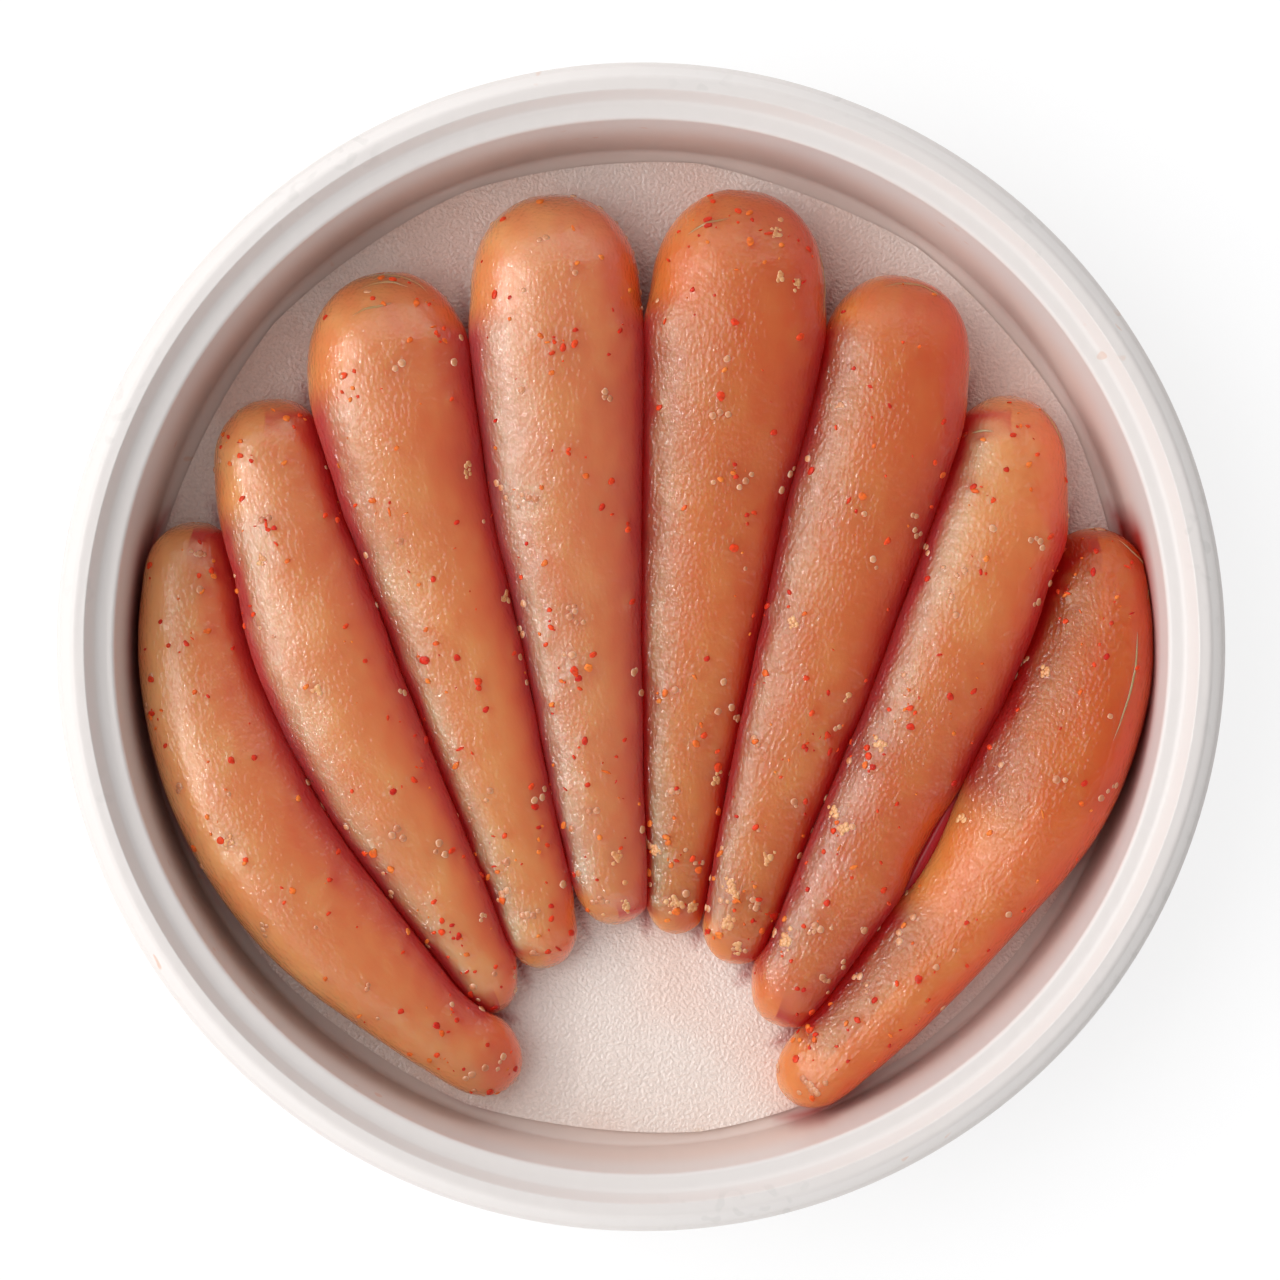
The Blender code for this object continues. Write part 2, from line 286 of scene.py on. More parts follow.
profile = denser(tub_profile())
print(f"the tub's section has {len(profile)} points")

# %% [markdown]
# A foamed sheet is never drawn perfectly true. The rim waves by a tenth of a millimetre or two,
# and little dents run across it where it rubbed in a stack. The wave goes into the mesh, because
# the long shine along the rim shows it, and the finest scuffs are left to the finish.

# %% Turn the tub
TUB_SEGMENTS = 256
WAVE = 0.00012  # how far the rim waves in and out
WAVES_ROUND = 2.3
DENT = 0.00009  # how deep the shallow dents across the rim are
DENTS_ROUND = 26
DENTS_ACROSS = 300
BEAD_HEIGHT = 0.00016
BEAD_HALF_WIDTH = 0.00022


def rim_share(radius):
    """0 inside the tub, 1 on its rim."""
    return min(max((radius - WALL_TOP_RADIUS) / (LEDGE_RADIUS - WALL_TOP_RADIUS), 0), 1)


def tub_point(radius, height, angle):
    share = rim_share(radius)
    towards = Vector((math.cos(angle), math.sin(angle), 0))
    wave = noise.noise(towards * WAVES_ROUND + Vector((0, 0, 7)))
    dent = noise.noise(towards * DENTS_ROUND + Vector((0, 0, radius * DENTS_ACROSS)))
    bead_at = STEP_TOP_RADIUS + BEAD_HALF_WIDTH
    bead = math.exp(-(((radius - bead_at) / BEAD_HALF_WIDTH) ** 2))
    on_top = 1.0 if height > TUB_HEIGHT - FLANGE_DROP / 2 else 0.0
    moved = radius + share * WAVE * wave
    lifted = height + share * on_top * (BEAD_HEIGHT * bead + DENT * min(dent, 0))
    return (moved * towards.x, moved * towards.y, min(lifted, TUB_HEIGHT))


angles = [math.tau * s / TUB_SEGMENTS for s in range(TUB_SEGMENTS)]
tub_points = [tub_point(0, SHEET, 0)]
tub_points += [tub_point(p.x, p.y, angle) for p in profile[1:-1] for angle in angles]
tub_points.append(tub_point(0, 0, 0))
tub_faces = closed_faces(len(profile) - 2, TUB_SEGMENTS)
print(f"the rim waves by {WAVE * 1000:.2f} mm")

# %% [markdown]
# ### Satin foamed plastic
#
# Foamed polystyrene is white with a soft satin shine, and fine scuffs run across its rim. The
# scuffs need a direction, so their noise is read at a place made of the direction from the axis,
# finely, and of the radius, coarsely: that stretches every lump along the radius. Drops of the
# red marinade have dried on it, which a thresholded noise paints as a few faint spots. The lower
# wall inside is painted rosy where the food is near, partly as damp and partly as a painted glow
# of the red light that the roe bounces onto it. How strongly each point is stained will be
# stored with the shell further down; that dark red stain is also painted shade between the sacs
# and against the wall.

# %% The tub's finish
# the marinade stain, whose dark red is also painted shade between the sacs and the wall
GAP_SHADE_AND_STAIN = "marinade"  # how red each point of the tub and its sheet is stained, from 0 to 1
GAP_SHADE_AND_STAIN_RED = (0.42, 0.030, 0.022, 1)
WHITE_FOAM = (0.810, 0.750, 0.715, 1)
COOL_FOAM = (0.800, 0.760, 0.735, 1)
# rosy low on the inner wall: partly damp, partly a painted glow of red light from the roe
ROSY_DAMP_AND_BOUNCE_GLOW = (0.80, 0.55, 0.44, 1)
ROSY_TOP, ROSY_FULL = 0.028, 0.012  # the wall inside is rosy below the first height
SCUFF_GREY = (0.66, 0.63, 0.60, 1)
SCUFFS_ROUND = 46
SCUFFS_ACROSS = 420
DRIED_DROP = (0.72, 0.36, 0.20, 1)
FOAM_CLOUDS, DRIED_DROPS = 28, 310  # lumps a metre
SCUFFS_SHOW, DROPS_SHOW, ROSY_SHOWS = 0.35, 0.55, 0.45  # how strongly each one colours


def across_the_rim(tree, place):
    """A place for noise that is fine along the rim and coarse across it, and the radius."""
    flat = vector_node(tree, "MULTIPLY", place, (1, 1, 0))
    radius = node(tree, "VectorMath", [flat], operation="LENGTH").outputs["Value"]
    out = node(tree, "CombineXYZ", {"Z": times(tree, radius, SCUFFS_ACROSS)}).outputs[0]
    spread = scaled(tree, vector_node(tree, "NORMALIZE", flat), SCUFFS_ROUND)
    return vector_node(tree, "ADD", spread, out), radius


def foamed_plastic():
    made, tree, shader = start_finish(
        "satin_foamed_plastic", Specular_IOR_Level=0.45, Coat_Weight=0.12, Coat_Roughness=0.25
    )
    place = node(tree, "TexCoord").outputs["Object"]
    scuff_place, radius = across_the_rim(tree, place)
    scuffs = grain(tree, scuff_place, 1.0, detail=0)
    cloud = grain(tree, place, FOAM_CLOUDS, detail=1)
    on_rim = soft_step(tree, radius, LEDGE_RADIUS, STEP_TOP_RADIUS)
    patches = soft_step(tree, cloud, 0.5, 0.62)
    scuffed = times(tree, soft_step(tree, scuffs, 0.60, 0.72), patches, on_rim)
    colour = mix(tree, cloud, WHITE_FOAM, COOL_FOAM)
    colour = mix(tree, times(tree, scuffed, SCUFFS_SHOW), colour, SCUFF_GREY)

    drops = soft_step(tree, grain(tree, place, DRIED_DROPS, detail=0), 0.73, 0.79)
    seldom = soft_step(tree, cloud, 0.42, 0.32)
    colour = mix(tree, times(tree, drops, seldom, DROPS_SHOW), colour, DRIED_DROP)
    height = node(tree, "SeparateXYZ", [place]).outputs["Z"]
    low = soft_step(tree, height, ROSY_TOP, ROSY_FULL)
    foot = math_node(tree, "SUBTRACT", radius, times(tree, height, WALL_SLOPE))
    inside = soft_step(tree, foot, FLOOR_RADIUS + 0.7 * SHEET, FLOOR_RADIUS + 0.3 * SHEET)
    # painted rosy glow of red light bounced from the roe, with damp, low on the inner wall
    colour = mix(tree, times(tree, low, inside, ROSY_SHOWS), colour, ROSY_DAMP_AND_BOUNCE_GLOW)
    # marinade stain, also painted shade in the gaps between the sacs and the wall
    colour = mix(tree, stored(tree, GAP_SHADE_AND_STAIN), colour, GAP_SHADE_AND_STAIN_RED)

    rough = soft_step(tree, scuffed, 0.0, 1.0, 0.40, 0.56)
    relief = {"Strength": 0.30, "Distance": 0.00025, "Height": scuffs}
    relief = node(tree, "Bump", relief, invert=True).outputs[0]
    feed(tree, shader, Base_Color=colour, Roughness=rough, Normal=relief)
    return made


tub_shell = add_piece(
    "tub_shell", tub_points, tub_faces, foamed_plastic(), replaced="tub", sharp=50
)

# %% [markdown]
# ## The sheet on the tub's floor
#
# A thin sheet lies under the roe and soaks up what drips. It was trimmed in short uneven arcs, so
# its edge comes and goes against the wall. The arcs are worked out from the same seeded draws as
# the solid's. A disc of rings gives the sheet enough points to lie a little wavy, as a damp sheet
# does, and two layers of rings give it a real edge.

# %% Cut the sheet
sheet_low, sheet_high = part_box("liner_sheet")
SEED = 11
LINER_RADIUS = 0.0984
LINER_SCALLOPS = 13
LINER_SCALLOP_DEPTH = 0.0011
LINER_SEGMENTS = 390
LINER_RINGS = 72
LINER_LIFT = 0.00016  # how high the damp sheet waves
LINER_WAVES, LINER_RIPPLES = 70, 190  # lumps a metre

rng = random.Random(SEED)
scallop_depths = [LINER_SCALLOP_DEPTH * rng.uniform(0.3, 1.0) for _ in range(LINER_SCALLOPS)]


def liner_edge(turn):
    """Radius of the trimmed edge; turn goes from 0 to 1 round the sheet."""
    scallop = turn * LINER_SCALLOPS
    depth = scallop_depths[int(scallop) % LINER_SCALLOPS]
    return LINER_RADIUS - depth * math.sin(math.pi * (scallop % 1))


def liner_layer(level, wave):
    """One face of the sheet, ring by ring from its middle."""
    points = [Vector((0, 0, level))]
    for k in range(1, LINER_RINGS + 1):
        for s in range(LINER_SEGMENTS):
            turn = s / LINER_SEGMENTS
            reach = liner_edge(turn) * k / LINER_RINGS
            spot = Vector((reach * math.cos(math.tau * turn), reach * math.sin(math.tau * turn), level))
            lift = noise.noise(spot * LINER_WAVES) + 0.5 * noise.noise(spot * LINER_RIPPLES)
            points.append(spot + Vector((0, 0, wave * lift)))
    return points


under_side = liner_layer(sheet_low.z, 0)
sheet_rings = liner_layer(sheet_high.z, LINER_LIFT)
for k in reversed(range(LINER_RINGS)):
    sheet_rings += under_side[1 + k * LINER_SEGMENTS:1 + (k + 1) * LINER_SEGMENTS]
sheet_rings.append(under_side[0])
print(f"the sheet is {2 * LINER_RADIUS * 1000:.1f} mm across")

# %% [markdown]
# The sheet has a fine leathery grain that glints, and the marinade has stained it here and there.
# The grain is far too fine for the mesh, about half a millimetre, so it is a bump. The noise that
# makes the bump also paints a little shade into its hollows and polishes its tops, as wear does.

# %% The sheet's finish
CLEAN_SHEET = (1.0, 0.88, 0.80, 1)
STAINED_SHEET = (1.0, 0.79, 0.69, 1)
DRIP = (0.80, 0.60, 0.36, 1)
SHEET_STAINS, SHEET_DRIPS, SHEET_GRAIN = 30, 75, 1500  # lumps a metre
DRIPS_SHOW = 0.5


def grainy_sheet():
    made, tree, shader = start_finish(
        "grainy_damp_sheet", Specular_IOR_Level=0.6, Coat_Weight=1.0, Coat_Roughness=0.12
    )
    place = node(tree, "TexCoord").outputs["Object"]
    stained = soft_step(tree, grain(tree, place, SHEET_STAINS, detail=1), 0.42, 0.66)
    colour = mix(tree, stained, CLEAN_SHEET, STAINED_SHEET)
    drips = soft_step(tree, grain(tree, place, SHEET_DRIPS, detail=1), 0.70, 0.78)
    colour = mix(tree, times(tree, drips, DRIPS_SHOW), colour, DRIP)
    # marinade stain, also painted shade in the gaps between the sacs and the wall
    colour = mix(tree, stored(tree, GAP_SHADE_AND_STAIN), colour, GAP_SHADE_AND_STAIN_RED)
    relief = grain(tree, place, SHEET_GRAIN, detail=1)
    # painted shade: the grain's hollows a little darker
    shaded = scaled(tree, colour, soft_step(tree, relief, 0.3, 0.7, 0.92, 1.0))
    rough = soft_step(tree, relief, 0.35, 0.65, 0.50, 0.28)
    bump = {"Strength": 0.9, "Distance": 0.00035, "Height": relief}
    bump = node(tree, "Bump", bump).outputs[0]
    feed(tree, shader, Base_Color=shaded, Roughness=rough, Normal=bump, Coat_Normal=bump)
    return made


floor_liner = add_piece(
    "floor_liner", sheet_rings, closed_faces(2 * LINER_RINGS, LINER_SEGMENTS), grainy_sheet(),
    replaced="liner_sheet", sharp=60,
)

# %% [markdown]
# ## The roe sacs
#
# A sac is a soft bag of tiny eggs in a thin membrane, blunt at its head and narrow at its tip.
# The solids were worked out from a spine, a width at each of its points, and a rounded section.
# The same values are repeated here, so that the fine skins keep the solids' form. A sculpted blob
# would look as soft, but it would drift away from the shape that the model promises.

# %% The sacs' spines and widths
Sac = namedtuple("Sac", "spine widths plump lean")
SACS = (
    Sac(
        ((-0.0891, 0.0250), (-0.0889, -0.0022), (-0.0803, -0.0284),
         (-0.0657, -0.0514), (-0.0461, -0.0700), (-0.0252, -0.0872)),
        (0.0170, 0.0224, 0.0268, 0.0260, 0.0210, 0.0140), 0.84, -0.001,
    ),
    Sac(
        ((-0.0749, 0.0496), (-0.0709, 0.0236), (-0.0629, -0.0018),
         (-0.0527, -0.0260), (-0.0399, -0.0494), (-0.0283, -0.0732)),
        (0.0216, 0.0256, 0.0272, 0.0244, 0.0188, 0.0124), 0.84, 0.0,
    ),
    Sac(
        ((-0.0509, 0.0750), (-0.0491, 0.0464), (-0.0417, 0.0184),
         (-0.0337, -0.0090), (-0.0255, -0.0366), (-0.0179, -0.0642)),
        (0.0280, 0.0332, 0.0278, 0.0236, 0.0180, 0.0136), 0.80, 0.0,
    ),
    Sac(
        ((-0.0175, 0.0906), (-0.0167, 0.0614), (-0.0152, 0.0320),
         (-0.0119, 0.0028), (-0.0087, -0.0264), (-0.0041, -0.0556)),
        (0.0300, 0.0344, 0.0308, 0.0244, 0.0188, 0.0136), 0.78, 0.0,
    ),
    Sac(
        ((0.0207, 0.0916), (0.0187, 0.0616), (0.0149, 0.0318),
         (0.0118, 0.0020), (0.0089, -0.0278), (0.0069, -0.0576)),
        (0.0298, 0.0356, 0.0298, 0.0236, 0.0164, 0.0104), 0.76, 0.0,
    ),
    Sac(
        ((0.0529, 0.0744), (0.0489, 0.0462), (0.0411, 0.0190),
         (0.0335, -0.0086), (0.0251, -0.0358), (0.0179, -0.0634)),
        (0.0264, 0.0310, 0.0280, 0.0242, 0.0180, 0.0132), 0.80, 0.0,
    ),
    Sac(
        ((0.0749, 0.0504), (0.0715, 0.0234), (0.0621, -0.0022),
         (0.0507, -0.0268), (0.0389, -0.0512), (0.0263, -0.0754)),
        (0.0192, 0.0268, 0.0266, 0.0232, 0.0200, 0.0140), 0.84, 0.0,
    ),
    Sac(
        ((0.0921, 0.0238), (0.0895, -0.0028), (0.0801, -0.0278),
         (0.0657, -0.0506), (0.0483, -0.0710), (0.0295, -0.0904)),
        (0.0172, 0.0258, 0.0286, 0.0224, 0.0190, 0.0136), 0.86, 0.0025,
    ),
)
print("widest place of each sac in mm:", [round(max(sac.widths) * 1000) for sac in SACS])

# %% A sac seen from above
SPINE_STEPS = 400
HEAD_ROUNDING = 0.50  # length of the round end, in widths
TIP_ROUNDING = 0.55
STATIONS = 24  # cross-sections from head to tip


def along(points, t):
    """Catmull-Rom curve through evenly counted points, with each t from 0 to 1."""
    points = np.array(points, float)
    ends = (2 * points[:1] - points[1:2], 2 * points[-1:] - points[-2:-1])
    padded = np.concatenate((ends[0], points, ends[1]))
    last = len(points) - 1
    t = np.asarray(t, float) * last
    i = np.minimum(t.astype(int), last - 1)
    u = t - i
    if points.ndim > 1:
        u = u[..., None]
    before, a, b, after = (padded[i + k] for k in range(4))
    bend = a * 2 - b * 2 + (b - before) * 0.5 + (after - a) * 0.5
    pull = (b - a) * 3 - (b - before) - (after - a) * 0.5
    return a + (b - before) * (0.5 * u) + pull * u**2 + bend * u**3


def end_rounding(run, reach):
    """1 along the body, falling to 0 in a round end; run is the distance from that end."""
    return np.sqrt(np.clip(1 - np.clip(1 - run / reach, 0, None) ** 2, 0, 1))


class Plan:
    """A sac seen from above: its cross-sections' left and right ends, width and roundness."""

    def __init__(self, sac):
        fine = along(sac.spine, np.linspace(0, 1, SPINE_STEPS + 1))
        runs = np.append(0, np.cumsum(np.linalg.norm(np.diff(fine, axis=0), axis=1)))
        self.sac = sac
        self.length = runs[-1]
        t = 0.5 - 0.5 * np.cos(np.pi * np.arange(STATIONS + 1) / STATIONS)
        run = t * self.length
        k = np.clip(np.searchsorted(runs, run), 1, SPINE_STEPS - 1)
        share = ((run - runs[k - 1]) / (runs[k] - runs[k - 1]))[:, None]
        place = fine[k - 1] * (1 - share) + fine[k] * share
        ahead = fine[k + 1] - fine[k - 1]
        ahead /= np.linalg.norm(ahead, axis=1)[:, None]
        aside = np.column_stack((ahead[:, 1], -ahead[:, 0]))
        self.body = along(sac.widths, t)
        head = end_rounding(run, HEAD_ROUNDING * self.body)
        tip = end_rounding(self.length - run, TIP_ROUNDING * self.body)
        half = (0.5 * self.body * head * tip)[:, None]
        self.left, self.right = place + aside * half, place - aside * half
        self.round = head * tip
        self.touch_left = self.touch_right = np.zeros(STATIONS + 1)


plans = [Plan(sac) for sac in SACS]
print("sac lengths in mm:", [round(plan.length * 1000) for plan in plans])

# %% [markdown]
# Packed in the tub, the soft sacs lie flank to flank and press each other flat, so two
# neighbours share one seam. Each edge point looks for the neighbour's edge and moves half of the
# way to it, which is done three times. How much each point touches is kept as well, from 0 to 1,
# because a touching side bulges up against its neighbour. A soft-body simulation could find the
# same seams, but it takes minutes and would not land on the solids.

# %% Settle the sacs against each other
TOUCH_REACH = 0.0014  # sides this near touch
SEAM_GAP = 0.00036
SETTLING_ROUNDS = 3


def nearest_gap(point, outward, edge):
    """Signed distance from a point to the neighbour's edge, along the point's outward side."""
    start, run = edge[:-1], np.diff(edge, axis=0)
    size = np.sum(run * run, axis=1)
    start, run, size = start[size > 0], run[size > 0], size[size > 0]
    share = np.clip(np.sum((point - start) * run, axis=1) / size, 0, 1)
    apart = start + run * share[:, None] - point
    best = apart[np.argmin(np.sum(apart * apart, axis=1))]
    return math.copysign(np.linalg.norm(best), best @ outward)


def pressed(edge, partner, other):
    """How far each point of an edge moves out to meet the neighbour half way, and its touch."""
    moves, touch = np.zeros_like(edge), np.zeros(len(edge))
    for k, outward in enumerate(edge - partner):
        reach = np.linalg.norm(outward)
        if reach < GAP:
            continue
        outward = outward / reach
        gap = nearest_gap(edge[k], outward, other)
        fade = min(max((TOUCH_REACH - gap) / (0.5 * TOUCH_REACH), 0), 1)
        moves[k] = outward * ((gap - SEAM_GAP) * 0.5 * fade)
        touch[k] = fade
    return moves, touch


for _ in range(SETTLING_ROUNDS):
    for one, two in zip(plans, plans[1:]):
        from_one, one.touch_right = pressed(one.right, one.left, two.left)
        from_two, two.touch_left = pressed(two.left, two.right, one.right)
        one.right = one.right + from_one
        two.left = two.left + from_two
touches = [round(float(np.mean(plan.touch_right)), 2) for plan in plans]
print("share of each sac's right side that touches:", touches)

# %% [markdown]
# Red marinade has drained from the sacs. It lies where two of them meet, and has run a little way
# up the wall where the outermost two lean on it. Its dark red is also painted shade: it fills the
# gaps between the sacs and beside the wall, where shade falls and the roe casts red light. How
# far each point of the tub and of the sheet is from the nearest sacs is worked out once and stored
# with the point, and the two finishes read it as a stain and painted shade, which fades out up
# the wall.

# %% Stain what the sacs lie on
STAIN_REACH = 0.0030
STAIN_TOP = 0.026  # the marinade reaches no higher than this
STAIN_FADE = 0.010  # and fades out over this height below
STAIN_STEPS = 40


def clearance(plan, places):
    """Distance of each place from a sac's outline, seen from above."""
    t = np.linspace(0, 1, STAIN_STEPS)
    left, right = along(plan.left, t), along(plan.right, t)
    apart = np.full(len(places), np.inf)
    for middle, half in zip((left + right) / 2, np.linalg.norm(right - left, axis=1) / 2):
        apart = np.minimum(apart, np.linalg.norm(places - middle, axis=1) - half)
    return apart


def stain_and_shade_gaps(piece):
    """Stores at each point how tightly it lies between two sacs, or between one and the wall."""
    places = np.zeros(len(piece.data.vertices) * 3, np.float32)
    piece.data.vertices.foreach_get("co", places)
    places = places.reshape(-1, 3)
    radius, height = np.linalg.norm(places[:, :2], axis=1), places[:, 2]
    inside = (radius < FLOOR_RADIUS + WALL_SLOPE * height + SHEET / 2) & (height > SHEET / 2)
    apart = np.array([clearance(plan, places[:, :2]) for plan in plans])
    nearest, second = np.sort(apart, axis=0)[:2]
    between = np.clip(1 - second / STAIN_REACH, 0, 1)
    outermost = np.isin(np.argmin(apart, axis=0), (0, len(plans) - 1))
    from_wall = np.maximum(FLOOR_RADIUS - radius, 0)
    beside = np.clip(1 - np.maximum(nearest, from_wall) / STAIN_REACH, 0, 1) * outermost
    beside *= np.clip((second - nearest) / (2 * STAIN_REACH), 0, 1)
    lowness = np.clip((STAIN_TOP - height) / STAIN_FADE, 0, 1)
    share = np.maximum(between, beside) * lowness * inside
    store(piece, GAP_SHADE_AND_STAIN, share.astype(np.float32))
    print(f"{piece.name}: {int(np.sum(share > 0))} points stained")


stain_and_shade_gaps(tub_shell)
stain_and_shade_gaps(floor_liner)

# %% [markdown]
# `skin` is the heart of the sacs. It gives the point at any place along a sac, counted in
# stations, and at any angle round it: 0 is the right side and a quarter turn is the top. The
# section is a superellipse, a circle with fuller shoulders, and the underside is fuller still,
# because a soft sac spreads on what it lies on. Numpy works out thousands of points in one call.

# %% The skin's formula
REST = sheet_high.z + GAP  # the height at which the sacs lie
TOP_FULLNESS, BOTTOM_FULLNESS = 2.25, 2.8  # 2 for an ellipse, more for a fuller shoulder
END_SAG = 0.35  # how far the round ends sink, in half heights
BULGE = 0.075  # how much a touching side swells before it meets its neighbour


def skin(plan, station, angle):
    """Point of a sac's skin at a station from 0 to STATIONS and an angle round the section."""
    station, angle = np.broadcast_arrays(np.asarray(station, float), np.asarray(angle, float))
    t = station / STATIONS
    left, right = along(plan.left, t), along(plan.right, t)
    body, round_off = along(plan.body, t), np.clip(along(plan.round, t), 0, 1)
    middle, half = (left + right) * 0.5, (right - left) * 0.5
    thick = 0.5 * body * plan.sac.plump
    power = 2 / np.where(np.sin(angle) > 0, TOP_FULLNESS, BOTTOM_FULLNESS)
    across = np.sign(np.cos(angle)) * np.abs(np.cos(angle)) ** power
    touch = np.where(across > 0, along(plan.touch_right, t), along(plan.touch_left, t))
    across = np.clip(across * (1 + BULGE * np.clip(touch, 0, 1)), -1, 1)
    up = np.sign(np.sin(angle)) * np.abs(np.sin(angle)) ** power
    centre = REST + thick * (1 - END_SAG * (1 - round_off))
    lift = plan.sac.lean * across * round_off * (0.5 + 0.5 * up)
    height = centre + thick * round_off * up + lift
    spot = middle + half * across[..., None]
    limit = (FLOOR_RADIUS + WALL_SLOPE * (height - SHEET)) * math.cos(math.pi / TUB_FACETS) - GAP
    spot = spot * np.minimum(1, limit / np.linalg.norm(spot, axis=-1))[..., None]
    return np.concatenate((spot, height[..., None]), axis=-1)


def outward(plan, station, angle, step=0.05, turn=0.02):
    """A point of the skin and the direction straight out of it, always to the upper side."""
    here = skin(plan, station, angle)
    onward = skin(plan, np.asarray(station) + step, angle) - here
    around = skin(plan, station, np.asarray(angle) + turn) - here
    normal = np.cross(onward, around)
    normal /= np.linalg.norm(normal, axis=-1)[..., None]
    return here, normal * np.where(normal[..., 2:] > 0, 1, -1)


tops = [float(skin(plan, STATIONS / 2, math.pi / 2)[2]) for plan in plans]
print("height of each sac's middle in mm:", [round(top * 1000, 1) for top in tops])

# %% [markdown]
# ## Places seen in the photo
#
# Some small things are worth putting just where they show: a clump of loose roe, a fold of the
# membrane, a nub on a head's outline. The photo was taken from straight above with a long lens, so
# a pixel is a place on a sac once the camera is known. One pixel is 0.1957 mm at the height of the
# rim, and the tub's deeper rings shift a little to the left, which tells where the camera stood.

# %% From a pixel to a place on a sac
PIXEL = 0.0001957  # metres per pixel of the photo, at the rim's height
TUB_MIDDLE_PIXEL = (642.5, 646.0)
CAMERA_HEIGHT = 1.10  # above the rim
CAMERA_ASIDE = (-0.020, -0.008)


def pixels(points):
    """Where points of the model show in the photo."""
    scale = CAMERA_HEIGHT / (CAMERA_HEIGHT + TUB_HEIGHT - points[..., 2:])
    flat = CAMERA_ASIDE + (points[..., :2] - CAMERA_ASIDE) * scale
    return TUB_MIDDLE_PIXEL + flat * (1, -1) / PIXEL


seen_stations = np.linspace(0, STATIONS, 481)
seen_angles = np.linspace(0, math.pi, 121)
seen = {n: pixels(skin(p, seen_stations[:, None], seen_angles)) for n, p in enumerate(plans, 1)}


def place_at(number, pixel):
    """Station and angle of the point of a sac that shows at a pixel, or nearest to it."""
    best = np.argmin(np.sum((seen[number] - pixel) ** 2, axis=-1))
    return seen_stations[best // len(seen_angles)], seen_angles[best % len(seen_angles)]


middle = len(seen_stations) // 2, len(seen_angles) // 2
print("pixels of the sacs' middles:", [spots[middle].round().tolist() for spots in seen.values()])

# %% [markdown]
# ## Where the chilli flakes lie
#
# The marinade leaves chips of chilli on the skin. The largest are fused on the solids, and the
# same seeded draws find them again here. Smaller chips and specks are added between them, most of
# them in loose clusters as the spoon left them. Their places are drawn before the skins are made,
# because the wet film heaps up round every chip, and the skin has to rise with it.

# %% Find the fused chips again
FLAKES_PER_SAC = 15
FLAKE_SIZES = (0.0006, 0.0011)
FLAKE_SIDES = 5
FLAKE_FLATTEN = 0.7
FLAKE_SPREAD = 0.62  # quarter turns to both sides of the crest
BARE_STATIONS = 3
FLAKE_STRAY = (0.3, 0.7)  # where a chip lies in its own share of the sac
GOLDEN = 0.618
CORNER_STRAY = 0.25  # how far a corner strays from its even place, in shares of a side
SHORTEST_REACH = 0.75  # of a corner, in shares of the chip's size
FUSED_REACH = 1.1  # the longest on a fused chip
SMALL_REACH = 1.15  # the longest on a small one

Chip = namedtuple("Chip", "sac place normal angle corners size red")


def outline(rng, sides, size, longest, flat, turn=0.0):
    """Corners of an uneven polygon, flattened across."""
    corners = []
    for k in range(sides):
        bearing = turn + math.tau * (k + rng.uniform(-CORNER_STRAY, CORNER_STRAY)) / sides
        reach = size * rng.uniform(SHORTEST_REACH, longest)
        corners.append((reach * math.cos(bearing), flat * reach * math.sin(bearing)))
    return corners


def fused_chips(number, plan):
    """The chips that the solid carries, every third one orange: same places and outlines."""
    rng = random.Random(SEED * 100 + number)
    for i in range(FLAKES_PER_SAC):
        share = (i + rng.uniform(*FLAKE_STRAY)) / FLAKES_PER_SAC
        station = BARE_STATIONS + round(share * (STATIONS - 1 - 2 * BARE_STATIONS))
        aside = FLAKE_SPREAD * (2 * ((i * GOLDEN) % 1) - 1)
        angle = math.pi / 2 - aside * math.pi / 2
        here, normal = outward(plan, station, angle, step=1, turn=0.1)
        size = rng.uniform(*FLAKE_SIZES)
        turn = rng.uniform(0, math.tau)
        corners = outline(rng, FLAKE_SIDES, size, FUSED_REACH, FLAKE_FLATTEN, turn)
        yield Chip(number, Vector(here), Vector(normal), angle, corners, size, i % 3 != 1)


print(f"{FLAKES_PER_SAC * len(plans)} chips are fused on the solids")

# %% Draw the small chips
CLUSTERS_PER_SAC = 9
LOOSE_PER_SAC = 42
CLUSTER_REACH = 0.0035
CLUSTER_SPREAD = 0.5  # standard deviation, in reaches
SMALL_SIZES = (0.00025, 0.0011)
SMALL_SIZE_POWER = 1.7  # over 1, so most of the small chips are very small
SMALL_SIDES = (5, 6, 7)
SLIVER_CHANCE = 0.2
SLIVER_FLATTEN = (0.28, 0.4)
SMALL_FLATTEN = (0.6, 0.95)
RED_CHANCE = 0.6
LOOSE_BARE, LOOSE_ASIDE = 1.5, 1.15  # stations left bare at an end, radians from the crest
CLUSTER_BARE, CLUSTER_ASIDE = 3, 0.85
CLUSTER_CHIPS = (2, 6)


def small_chip(number, plan, station, angle, rng):
    here, normal = outward(plan, station, angle)
    size = SMALL_SIZES[0] + (SMALL_SIZES[1] - SMALL_SIZES[0]) * rng.random() ** SMALL_SIZE_POWER
    flat = rng.uniform(*(SLIVER_FLATTEN if rng.random() < SLIVER_CHANCE else SMALL_FLATTEN))
    turn = rng.uniform(0, math.tau)
    straight = outline(rng, rng.choice(SMALL_SIDES), size, SMALL_REACH, flat)
    c, s = math.cos(turn), math.sin(turn)
    corners = [(x * c - y * s, x * s + y * c) for x, y in straight]
    red = rng.random() < RED_CHANCE
    return Chip(number, Vector(here), Vector(normal), angle, corners, size, red)


